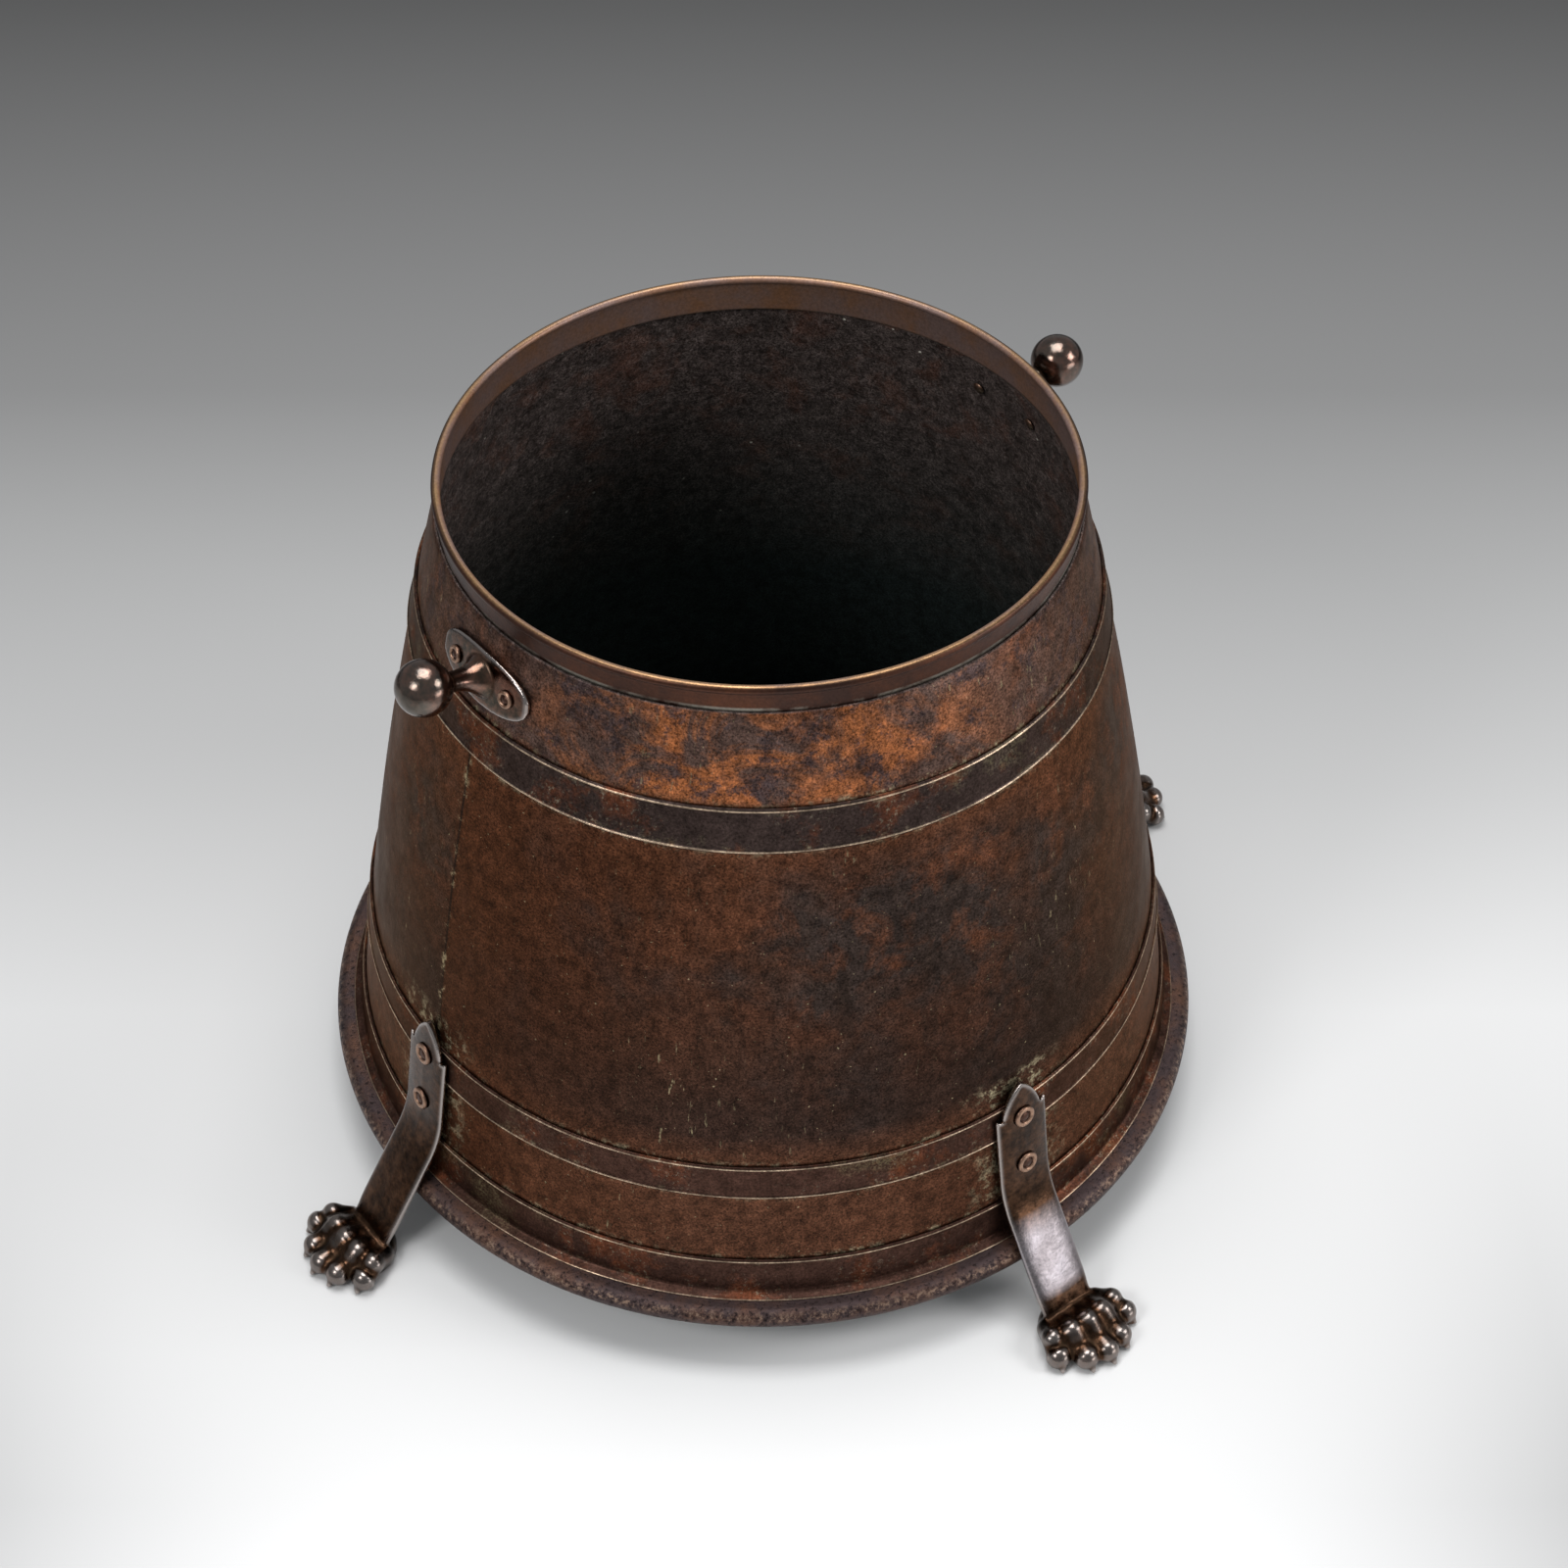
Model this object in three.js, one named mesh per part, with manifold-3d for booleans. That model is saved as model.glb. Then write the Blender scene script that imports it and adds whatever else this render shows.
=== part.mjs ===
// A coal scuttle: a tapered copper bucket bound by three hoops. It stands on four riveted strap
// legs that end in cast lion's paws, and is carried by two fixed ball knobs below the rim.
// Millimetres, +Z up. The origin is on the floor, under the middle of the bucket.
// The legs stand on the X and Y axes.

import * as THREE from 'three';
import { mergeVertices } from 'three/addons/utils/BufferGeometryUtils.js';
import Module from 'manifold-3d';

const wasm = await Module();
wasm.setup();

// ---- Driving dimensions, in millimetres and degrees ----

const FACETS = 48; // round the bucket, a multiple of four
const SEAT_GAP = 0.3; // between two pieces that touch
const SLIVER = 0.04; // faces thinner than this are merged into their neighbours

// The base ring, which carries the body sheet and the floor plate
const GROUND_CLEARANCE = 30.2;
const RING_PROJECTION = 15.1; // past the body sheet's foot
const RING_ROLL = 6; // radius of the rolled outer edge
const RING_FLANGE = 23; // how far the flat flange reaches inwards from the roll's middle
const RING_FLANGE_THICKNESS = 2.5;
const FLOOR_THICKNESS = 1.5;

// The body sheet
const BODY_HEIGHT = 333;
const FOOT_RADIUS = 217.5;
const BODY_BULGE = 5; // how far the side swells past a straight cone
const BODY_WALL = 1;

// The collar, whose top edge is rolled over a wire
const COLLAR_RADIUS = 150.7;
const COLLAR_RISE = 14.4; // above the body sheet
const COLLAR_LAP = 5.5; // inside the body sheet
const COLLAR_WALL = 0.8;
const ROLL_RADIUS = 2.2;
const ROLL_PROUD = 1.5; // how far the roll stands out past the collar

// The three hoops
const HOOP_THICKNESS = 0.9;
const BEAD_PROUD = 0.6;
const BEAD_WIDTH = 2.2;
const FOOT_HOOP_WIDTH = 23;
const FOOT_HOOP_LIP = 5; // how far its foot flares over the base ring
const LOWER_HOOP_RISE = 64.2; // from the body's foot to its lower edge
const LOWER_HOOP_WIDTH = 20;
const UPPER_HOOP_DROP = 46.2; // from the body's top to its upper edge
const UPPER_HOOP_WIDTH = 22.7;

// The legs
const TAB_RISE = 13.3; // the tab's point, above the lower hoop
const TAB_LENGTH = 20;
const TAB_WIDTH = 24;
const STRAP_WIDTH = 31;
const STRAP_THICKNESS = 3.6;
const SHIN_THICKNESS = 5;
const STRAP_CROWN = 0.9; // how much higher the strap's middle is than its edges
const LEG_RIVET_DROP = 21.5; // from the tab's point to the upper rivet
const LEG_RIVET_SPACING = 31.5;
const BEND_DROP = 19; // from the lower rivet to the corner of the bend
const BEND_LENGTH = 12.5; // strap taken up by the bend on each side of the corner

// The paws
const PAW_SPREAD = 52.4; // from the base ring's edge out to the middle toe
const PAW_HEIGHT = 19.5;
const TOE_PITCH = 11;
const TOE_LENGTH = 13; // from the knuckle to the toe's end joint
const TOE_SIZE = 6.3; // radius of the knuckle and the end joint
const CLAW_LENGTH = 8; // from the end joint to the claw's tip
const WRIST_LENGTH = 27; // from the middle toe back to the wrist
const WRIST_HEIGHT = 9;

// The two carrying knobs
const HANDLE_TURN = 1.6; // degrees round from the line of the side legs
const HANDLE_DROP = 25.5; // from the body's top to the middle of the mounting plate
const PLATE_LENGTH = 63;
const PLATE_WIDTH = 27;
const PLATE_THICKNESS = 3;
const KNOB_RADIUS = 13.2;
const KNOB_STANDOFF = 33.5; // from the body sheet to the ball's middle
const KNOB_TILT = 18; // degrees above the horizontal
const NECK_RADIUS = 4.8;
const NECK_FLARE = 10.5; // radius of the neck's foot on the plate
const HANDLE_RIVET_SPAN = 38;

// Rivets: a slim shank through both pieces, closed over a ring-shaped washer outside, with a
// flat tail inside. These are radii.
const LEG_RIVET_HEAD = 6;
const LEG_RIVET_SHANK = 1.7;
const HANDLE_RIVET_HEAD = 4.4;
const HANDLE_RIVET_SHANK = 1.4;
const RIVET_RISE = 1.3;
const RIVET_TAIL_RISE = 1.2;

// ---- Heights and radii that follow from them ----

const ringTop = GROUND_CLEARANCE + 2 * RING_ROLL;
const footZ = ringTop + SEAT_GAP;
const seamZ = footZ + BODY_HEIGHT;
const neckRadius = COLLAR_RADIUS + SEAT_GAP + BODY_WALL;
const rimZ = seamZ + COLLAR_RISE;
const handleZ = seamZ - HANDLE_DROP;
const ringRadius = FOOT_RADIUS + RING_PROJECTION;
const pawReach = ringRadius + PAW_SPREAD;

const footHoop = { name: 'foot_hoop', bottom: footZ, width: FOOT_HOOP_WIDTH, lip: FOOT_HOOP_LIP };
const lowerHoop = { name: 'lower_hoop', bottom: footZ + LOWER_HOOP_RISE, width: LOWER_HOOP_WIDTH, lip: 0 };
const upperHoop = {
  name: 'upper_hoop', bottom: seamZ - UPPER_HOOP_DROP - UPPER_HOOP_WIDTH, width: UPPER_HOOP_WIDTH, lip: 0,
};
const hoops = [footHoop, lowerHoop, upperHoop];

/** Radius of the swelling cone at a height: a straight taper plus half a sine wave. */
function coneRadius(z) {
  const t = (seamZ - z) / BODY_HEIGHT;
  return neckRadius + (FOOT_RADIUS - neckRadius) * t + BODY_BULGE * Math.sin(Math.PI * t);
}

// The body's corners: its ends, the hoops' edges, and points between where it is plain.
const midBody = (lowerHoop.bottom + LOWER_HOOP_WIDTH + upperHoop.bottom) / 2;
const bodyHeights = [footZ, seamZ, midBody, (handleZ + seamZ) / 2]
  .concat(hoops.flatMap((hoop) => [hoop.bottom, hoop.bottom + hoop.width]))
  .sort((a, b) => a - b)
  .filter((z, i, all) => i === 0 || z - all[i - 1] > 1e-6);

/** Outer radius of the body sheet at a height, straight between its corners. */
function bodyRadius(z) {
  const last = bodyHeights.length - 1;
  let i = bodyHeights.findIndex((corner) => corner >= z);
  i = Math.min(Math.max(i < 0 ? last : i, 1), last);
  const [low, high] = [bodyHeights[i - 1], bodyHeights[i]];
  const t = (z - low) / (high - low);
  return coneRadius(low) * (1 - t) + coneRadius(high) * t;
}

// ---- Materials ----

const copper = { color: 0x4a2a1c, roughness: 0.45, metalness: 0.85 };
const darkCopper = { color: 0x33211b, roughness: 0.55, metalness: 0.8 };
const wornRim = { color: 0x8a6238, roughness: 0.35, metalness: 0.95 };
const pittedIron = { color: 0x3b2c28, roughness: 0.75, metalness: 0.6 };
const castBronze = { color: 0x35271f, roughness: 0.4, metalness: 0.85 };
const rivetCopper = { color: 0x6e5040, roughness: 0.5, metalness: 0.85 };

// ---- Geometry helpers ----

const point = (r, z) => new THREE.Vector2(r, z);

/** A closed profile turned round the Z axis. */
function turned(profile, facets = FACETS) {
  const geometry = new THREE.LatheGeometry(profile, facets);
  geometry.rotateX(Math.PI / 2); // the lathe turns about Y
  return geometry;
}

/** A ring: the profile's last corner is joined to its first. */
const turnedRing = (profile) => turned([...profile, profile[0].clone()]);

/** A solid as boolean operations need it, with shared corners merged. */
function solid(geometry, matrix = new THREE.Matrix4()) {
  const bare = new THREE.BufferGeometry();
  bare.setAttribute('position', geometry.getAttribute('position').clone());
  bare.setIndex(geometry.getIndex());
  bare.applyMatrix4(matrix);
  const merged = mergeVertices(bare, 1e-4);
  return new wasm.Manifold(new wasm.Mesh({
    numProp: 3,
    vertProperties: new Float32Array(merged.getAttribute('position').array),
    triVerts: new Uint32Array(merged.getIndex().array),
  }));
}

/** The surface of a solid, as a geometry again. */
function surface(body) {
  const mesh = body.simplify(SLIVER).getMesh();
  const geometry = new THREE.BufferGeometry();
  geometry.setAttribute('position', new THREE.BufferAttribute(new Float32Array(mesh.vertProperties), 3));
  geometry.setIndex(new THREE.BufferAttribute(new Uint32Array(mesh.triVerts), 1));
  geometry.computeVertexNormals();
  return geometry;
}

/** A solid skinned over rings of points that all run the same way round, with both ends closed. */
function loft(rings) {
  const count = rings[0].length;
  const middle = (ring) => ring.reduce((sum, p) => sum.add(p), new THREE.Vector3()).divideScalar(count);
  const points = [...rings.flat(), middle(rings[0]), middle(rings.at(-1))];
  const index = [];
  for (let i = 0; i < rings.length - 1; i++) {
    for (let j = 0; j < count; j++) {
      const a = i * count + j;
      const b = i * count + ((j + 1) % count);
      index.push(a, b, b + count, a, b + count, a + count);
    }
  }
  const end = (rings.length - 1) * count;
  for (let j = 0; j < count; j++) {
    const next = (j + 1) % count;
    index.push(points.length - 2, next, j);
    index.push(points.length - 1, end + j, end + next);
  }
  const geometry = new THREE.BufferGeometry().setFromPoints(points);
  geometry.setIndex(index);
  return geometry;
}

const model = new THREE.Group();

/** Adds one named piece, turned about the bucket's axis by a number of degrees. */
function add(name, geometry, finish, turn = 0) {
  const mesh = new THREE.Mesh(geometry, new THREE.MeshStandardMaterial(finish));
  mesh.name = name;
  mesh.rotation.z = THREE.MathUtils.degToRad(turn);
  model.add(mesh);
}

// ---- Where the legs and the knobs sit ----

// Seen from the side, a leg's strap lies in the plane of X (outwards) and Z. Its back touches
// both beads of the lower hoop, and this line of contact places the tab and the rivets.
const beadRadius = (z) => bodyRadius(z) + SEAT_GAP + HOOP_THICKNESS + BEAD_PROUD;
const lowBead = lowerHoop.bottom + BEAD_WIDTH / 2;
const highBead = lowerHoop.bottom + LOWER_HOOP_WIDTH - BEAD_WIDTH / 2;
const seatSlope = (beadRadius(lowBead) - beadRadius(highBead)) / (highBead - lowBead);
const seatDown = new THREE.Vector3(seatSlope, 0, -1).normalize();
const seatOut = new THREE.Vector3(1, 0, seatSlope).normalize();
const tabZ = lowerHoop.bottom + LOWER_HOOP_WIDTH + TAB_RISE;
const tabTip = new THREE.Vector3(beadRadius(highBead) - seatSlope * (tabZ - highBead), 0, tabZ)
  .addScaledVector(seatOut, SEAT_GAP);

/** A point on the back of the strap, a distance below the tab's point. */
const onSeat = (drop) => tabTip.clone().addScaledVector(seatDown, drop);

/** Where a rivet stands: its place on the outer face and the way it points. */
const lowerRivetDrop = LEG_RIVET_DROP + LEG_RIVET_SPACING;
const legRivets = [LEG_RIVET_DROP, lowerRivetDrop].map((drop) => ({
  place: onSeat(drop).addScaledVector(seatOut, STRAP_THICKNESS),
  out: seatOut,
}));

// A knob's plate follows the bucket's curve, and each of its rivets points straight at the axis.
const plateTop = PLATE_THICKNESS + SEAT_GAP;
const plateSlope = (bodyRadius(handleZ - 5) - bodyRadius(handleZ + 5)) / 10;
const handleRivets = [-1, 1].map((side) => {
  const turn = (side * HANDLE_RIVET_SPAN) / 2 / bodyRadius(handleZ);
  const axis = new THREE.Vector3(0, 0, 1);
  return {
    place: new THREE.Vector3(bodyRadius(handleZ) + plateTop, 0, handleZ).applyAxisAngle(axis, turn),
    out: new THREE.Vector3(1, 0, plateSlope).normalize().applyAxisAngle(axis, turn),
  };
});

const legTurns = { right: 0, back: 90, left: 180, front: 270 };
const handleTurns = { right: HANDLE_TURN, left: 180 + HANDLE_TURN };

/** The turn that takes the Z axis to a rivet's own direction, at the rivet's place. */
function rivetFrame({ place, out }) {
  const turn = new THREE.Quaternion().setFromUnitVectors(new THREE.Vector3(0, 0, 1), out);
  return new THREE.Matrix4().compose(place, turn, new THREE.Vector3(1, 1, 1));
}

const RIVET_SIDES = 8;
const DRILL_DEPTH = 12; // reaches through everything that a rivet joins

/** A round cutter that clears a rivet's shank, turned with its leg or knob. */
function drill(rivet, shank, turn) {
  const cutter = new THREE.CylinderGeometry(shank + SEAT_GAP, shank + SEAT_GAP, 2 * DRILL_DEPTH, RIVET_SIDES);
  cutter.rotateX(Math.PI / 2);
  const place = new THREE.Matrix4().makeRotationZ(THREE.MathUtils.degToRad(turn));
  return solid(cutter, place.multiply(rivetFrame(rivet)));
}

const legDrills = Object.values(legTurns)
  .map((turn) => legRivets.map((rivet) => drill(rivet, LEG_RIVET_SHANK, turn)));
const handleDrills = Object.values(handleTurns)
  .map((turn) => handleRivets.map((rivet) => drill(rivet, HANDLE_RIVET_SHANK, turn)));

// ---- Bucket ----

function bodySheet() {
  const outside = bodyHeights.map((z) => point(bodyRadius(z), z));
  const inside = bodyHeights.map((z) => point(bodyRadius(z) - BODY_WALL, z)).reverse();
  const holes = [...legDrills.flat(), ...handleDrills.flat()];
  return surface(holes.reduce((sheet, hole) => sheet.subtract(hole), solid(turnedRing([...outside, ...inside]))));
}

/** A hoop with a rounded bead along each edge; the foot hoop's lower edge flares out instead. */
function hoopProfile({ bottom, width, lip }) {
  const top = bottom + width;
  const back = (z) => bodyRadius(z) + SEAT_GAP;
  const face = (z) => back(z) + HOOP_THICKNESS;
  const lower = lip > 0
    ? [point(back(bottom) + lip, bottom), point(back(bottom) + lip, bottom + HOOP_THICKNESS),
      point(face(bottom + 2 * BEAD_WIDTH) + 0.2 * lip, bottom + BEAD_WIDTH)]
    : [point(face(bottom), bottom), point(face(bottom) + BEAD_PROUD, bottom + BEAD_WIDTH / 2)];
  return [
    point(back(bottom), bottom),
    ...lower,
    point(face(bottom + 2 * BEAD_WIDTH), bottom + 2 * BEAD_WIDTH),
    point(face(top - BEAD_WIDTH), top - BEAD_WIDTH),
    point(face(top) + BEAD_PROUD, top - BEAD_WIDTH / 2),
    point(face(top), top),
    point(back(top), top),
  ];
}

const rollMiddle = point(COLLAR_RADIUS + ROLL_PROUD - ROLL_RADIUS, rimZ - ROLL_RADIUS);

/** A point round the wire that the collar's top edge is rolled over, at an angle from outwards. */
function roundWire(radius, degrees) {
  const angle = THREE.MathUtils.degToRad(degrees);
  return point(rollMiddle.x + radius * Math.cos(angle), rollMiddle.y + radius * Math.sin(angle));
}

/** The collar's section: a plain band whose top edge goes out, over and down behind the wire. */
function collarProfile() {
  const bottom = seamZ - COLLAR_LAP;
  const leave = -THREE.MathUtils.radToDeg(Math.acos((ROLL_RADIUS - ROLL_PROUD) / ROLL_RADIUS));
  const outside = [leave, -10, 45, 100, 155, 200].map((degrees) => roundWire(ROLL_RADIUS, degrees));
  const inside = [200, 115, 30, leave].map((degrees) => roundWire(ROLL_RADIUS - COLLAR_WALL, degrees));
  const inner = COLLAR_RADIUS - COLLAR_WALL;
  return [point(COLLAR_RADIUS, bottom), ...outside, ...inside,
    point(inner, rollMiddle.y - ROLL_RADIUS + COLLAR_WALL / 2), point(inner, bottom)];
}

function rimWireProfile() {
  const radius = (ROLL_RADIUS - COLLAR_WALL) * Math.cos(THREE.MathUtils.degToRad(43)) - SEAT_GAP;
  return [0, 72, 144, 216, 288].map((degrees) => roundWire(radius, degrees));
}

/** The base ring: a rolled outer edge with a flat flange that reaches in under the body sheet. */
function baseRingProfile() {
  const middle = point(ringRadius - RING_ROLL, ringTop - RING_ROLL);
  const roll = [250, 285, 320, 355, 30, 60, 90].map(THREE.MathUtils.degToRad)
    .map((a) => point(middle.x + RING_ROLL * Math.cos(a), middle.y + RING_ROLL * Math.sin(a)));
  const underFlange = ringTop - RING_FLANGE_THICKNESS;
  return [
    point(middle.x - RING_FLANGE, underFlange),
    point(middle.x - RING_ROLL, underFlange),
    point(middle.x - RING_ROLL, middle.y - RING_ROLL / 2),
    ...roll,
    point(middle.x - RING_FLANGE, ringTop),
  ];
}

function floorProfile() {
  const radius = bodyRadius(footZ) - BODY_WALL - SEAT_GAP;
  const top = footZ + FLOOR_THICKNESS;
  return [point(0, footZ), point(radius, footZ), point(radius, top), point(0, top)];
}

add('bucket_body', bodySheet(), copper);
add('floor_plate', turned(floorProfile()), darkCopper);
add('base_ring', turnedRing(baseRingProfile()), pittedIron);
add('neck_collar', turnedRing(collarProfile()), wornRim);
add('rim_wire', turnedRing(rimWireProfile()), pittedIron);
for (const hoop of hoops) {
  const ring = solid(turnedRing(hoopProfile(hoop)));
  add(hoop.name, surface(legDrills.flat().reduce((band, hole) => band.subtract(hole), ring)), darkCopper);
}

// ---- Legs ----

/** One ring of a strap's section: a back that fits a round body, and a crowned face. */
function strapSection(face, down, halfWidth, thickness, bodyCurve) {
  const out = new THREE.Vector3(-down.z, 0, down.x);
  const at = (share, depth) => {
    const y = share * halfWidth;
    const sag = (bodyCurve * y * y) / 2;
    return face.clone().addScaledVector(out, -depth - sag).add(new THREE.Vector3(0, y, 0));
  };
  return [
    at(-1, thickness), at(0, thickness), at(1, thickness),
    at(1, STRAP_CROWN), at(0.6, STRAP_CROWN * 0.3), at(0, 0), at(-0.6, STRAP_CROWN * 0.3), at(-1, STRAP_CROWN),
  ];
}

/** The strap, from the tab's point down the seat, round the bend and along the shin to the wrist. */
function strap() {
  const face = (drop) => onSeat(drop).addScaledVector(seatOut, STRAP_THICKNESS);
  const cornerDrop = lowerRivetDrop + BEND_DROP;
  const corner = face(cornerDrop);
  const wrist = new THREE.Vector3(pawReach - WRIST_LENGTH, 0, WRIST_HEIGHT + SHIN_THICKNESS / 2);
  const shin = wrist.clone().sub(corner);
  const bend = new THREE.QuadraticBezierCurve3(
    face(cornerDrop - BEND_LENGTH), corner, corner.clone().addScaledVector(shin, BEND_LENGTH / shin.length()));
  const seatCurve = 1 / beadRadius(lowBead);
  const rings = [-1, TAB_LENGTH, cornerDrop / 2].map((drop) => (
    strapSection(face(drop), seatDown, STRAP_WIDTH / 2, STRAP_THICKNESS, seatCurve)));
  const bendSteps = 4;
  for (let i = 0; i <= bendSteps; i++) {
    const t = i / bendSteps;
    const thickness = STRAP_THICKNESS + (SHIN_THICKNESS - STRAP_THICKNESS) * t;
    rings.push(strapSection(bend.getPoint(t), bend.getTangent(t), STRAP_WIDTH / 2, thickness, seatCurve * (1 - t)));
  }
  rings.push(strapSection(wrist, shin.clone().normalize(), STRAP_WIDTH / 2, SHIN_THICKNESS, 0));
  return solid(loft(rings));
}

/** What is cut away above the tab's pointed arch, down to a small horn at each shoulder. */
function tabCutter() {
  const half = TAB_WIDTH / 2;
  const beyond = STRAP_WIDTH;
  const hornTip = 2 - TAB_LENGTH;
  const outline = new THREE.Shape();
  outline.moveTo(beyond, beyond);
  outline.lineTo(-beyond, beyond);
  outline.lineTo(-beyond, hornTip);
  outline.lineTo(-STRAP_WIDTH / 2, hornTip);
  outline.lineTo(-half, -TAB_LENGTH);
  outline.quadraticCurveTo(-0.75 * half, -0.32 * TAB_LENGTH, 0, 0);
  outline.quadraticCurveTo(0.75 * half, -0.32 * TAB_LENGTH, half, -TAB_LENGTH);
  outline.lineTo(STRAP_WIDTH / 2, hornTip);
  outline.lineTo(beyond, hornTip);
  const block = new THREE.ExtrudeGeometry(outline, { depth: 2 * DRILL_DEPTH, bevelEnabled: false, curveSegments: 5 });
  block.translate(0, 0, -DRILL_DEPTH);
  // The outline's own axes become the leg's sideways, upwards along the seat, and outwards.
  const axes = new THREE.Matrix4().makeBasis(new THREE.Vector3(0, 1, 0), seatDown.clone().negate(), seatOut);
  return solid(block, axes.setPosition(tabTip));
}

/** A round limb that swells and narrows along a path in the plane of X and Z. */
function limb(stations, sides = 7) {
  const centres = stations.map(([x, z]) => new THREE.Vector3(x, 0, z));
  const last = centres.length - 1;
  return loft(stations.map(([, , radius], i) => {
    const along = centres[Math.min(i + 1, last)].clone().sub(centres[Math.max(i - 1, 0)]).normalize();
    const up = new THREE.Vector3(-along.z, 0, along.x);
    return Array.from({ length: sides }, (_, j) => {
      const a = (2 * Math.PI * (j + 0.5)) / sides;
      return centres[i].clone().addScaledVector(up, radius * Math.cos(a))
        .sub(new THREE.Vector3(0, radius * Math.sin(a), 0));
    });
  }));
}

/** A toe that arches over its knuckle, comes down to the end joint and runs out in a claw. */
function toe(knuckleHeight) {
  return limb([
    [-1.7 * TOE_LENGTH, 0.6 * knuckleHeight, 0.7 * TOE_SIZE],
    [-TOE_LENGTH, knuckleHeight, TOE_SIZE],
    [-0.5 * TOE_LENGTH, 0.6 * knuckleHeight + 0.35 * TOE_SIZE, 0.86 * TOE_SIZE],
    [0, 0.9 * TOE_SIZE, TOE_SIZE],
    [0.5 * CLAW_LENGTH, 0.7 * TOE_SIZE, 0.72 * TOE_SIZE],
    [0.62 * CLAW_LENGTH, 0.5 * TOE_SIZE, 0.36 * TOE_SIZE],
    [CLAW_LENGTH, 0.2 * TOE_SIZE, 0.12 * TOE_SIZE],
  ]);
}

/** A lion's paw: a domed pad with five toes set in a fan, the outer ones lower and further back. */
function paw() {
  const pad = new THREE.Matrix4().makeTranslation(pawReach - 0.75 * WRIST_LENGTH, 0, 0.3 * PAW_HEIGHT);
  pad.scale(new THREE.Vector3(0.75 * WRIST_LENGTH, STRAP_WIDTH / 2 + 5, 0.55 * PAW_HEIGHT));
  const toes = [-2, -1, 0, 1, 2].map((n) => {
    const place = new THREE.Matrix4().makeTranslation(pawReach - 2.9 * n * n, n * TOE_PITCH, 0);
    place.multiply(new THREE.Matrix4().makeRotationZ(0.13 * n));
    return solid(toe(PAW_HEIGHT - TOE_SIZE - 0.7 * n * n), place);
  });
  return toes.reduce((sum, next) => sum.add(next), solid(new THREE.IcosahedronGeometry(1, 1), pad));
}

/** The floor, as a slab to cut the soles flat at a height of zero. */
function floorSlab() {
  const reach = 4 * pawReach;
  return solid(new THREE.BoxGeometry(reach, reach, PAW_HEIGHT).translate(0, 0, -PAW_HEIGHT / 2));
}

const leg = [tabCutter(), ...legDrills[0], floorSlab()]
  .reduce((shape, cutter) => shape.subtract(cutter), strap().add(paw()));
for (const [side, turn] of Object.entries(legTurns)) {
  add(`leg_${side}`, surface(leg), castBronze, turn);
}

// ---- Carrying knobs ----

/** The plate: a long oval, bent round the bucket, with its face rounded over at the edge. */
function handlePlate() {
  const steps = 8;
  const edge = PLATE_THICKNESS / 3;
  const shoulder = 0.85 * PLATE_THICKNESS;
  return loft(Array.from({ length: steps + 1 }, (_, i) => {
    const along = -0.995 * Math.cos((Math.PI * i) / steps);
    const half = (PLATE_WIDTH / 2) * Math.sqrt(1 - along * along) ** 0.8;
    const turn = (along * PLATE_LENGTH) / 2 / bodyRadius(handleZ);
    const at = (share, lift) => {
      const z = handleZ + share * half;
      const r = bodyRadius(z) + SEAT_GAP + lift;
      return new THREE.Vector3(r * Math.cos(turn), r * Math.sin(turn), z);
    };
    return [at(-1, 0), at(0, 0), at(1, 0), at(1, edge), at(0.75, shoulder),
      at(0, PLATE_THICKNESS), at(-0.75, shoulder), at(-1, edge)];
  }));
}

/** The neck and ball, turned in one: a trumpet foot, a slim waist and a sphere. */
function knob() {
  const foot = PLATE_THICKNESS; // the neck is cast with the plate, and starts inside it
  const waist = KNOB_STANDOFF - 0.93 * KNOB_RADIUS;
  const profile = [point(0, 0.6 * foot), point(NECK_FLARE, 0.6 * foot)];
  for (const t of [0.1, 0.3, 0.6]) {
    const radius = NECK_RADIUS + (NECK_FLARE - NECK_RADIUS) * (1 - t) ** 3;
    profile.push(point(radius, foot + (waist - foot) * t));
  }
  const neckAngle = Math.asin(NECK_RADIUS / KNOB_RADIUS);
  const ballSteps = 7;
  for (let i = 0; i < ballSteps; i++) {
    const a = (Math.PI - neckAngle) * (1 - i / ballSteps);
    profile.push(point(KNOB_RADIUS * Math.sin(a), KNOB_STANDOFF + KNOB_RADIUS * Math.cos(a)));
  }
  profile.push(point(0, KNOB_STANDOFF + KNOB_RADIUS));
  return turned(profile, 14);
}

const knobPlace = new THREE.Matrix4().makeTranslation(bodyRadius(handleZ), 0, handleZ)
  .multiply(new THREE.Matrix4().makeRotationY(THREE.MathUtils.degToRad(90 - KNOB_TILT)));
const handle = handleDrills[0].map((hole) => hole.rotate([0, 0, -HANDLE_TURN]))
  .reduce((shape, hole) => shape.subtract(hole), solid(handlePlate()).add(solid(knob(), knobPlace)));
for (const [side, turn] of Object.entries(handleTurns)) {
  add(`handle_${side}`, surface(handle), castBronze, turn);
}

// ---- Rivets ----

/** A rivet standing on Z = 0, its shank reaching down to a flat tail behind the body sheet. */
function rivet(head, shank, grip) {
  const tail = -grip - SEAT_GAP;
  const bed = SEAT_GAP;
  return turned([
    point(0, tail - RIVET_TAIL_RISE),
    point(0.75 * head, tail - 0.4 * RIVET_TAIL_RISE),
    point(0.75 * head, tail),
    point(shank, tail),
    point(shank, bed),
    point(head, bed),
    point(0.82 * head, bed + RIVET_RISE),
    point(0.5 * head, bed + 0.45 * RIVET_RISE),
    point(0, bed + 1.1 * RIVET_RISE),
  ], RIVET_SIDES);
}

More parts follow.
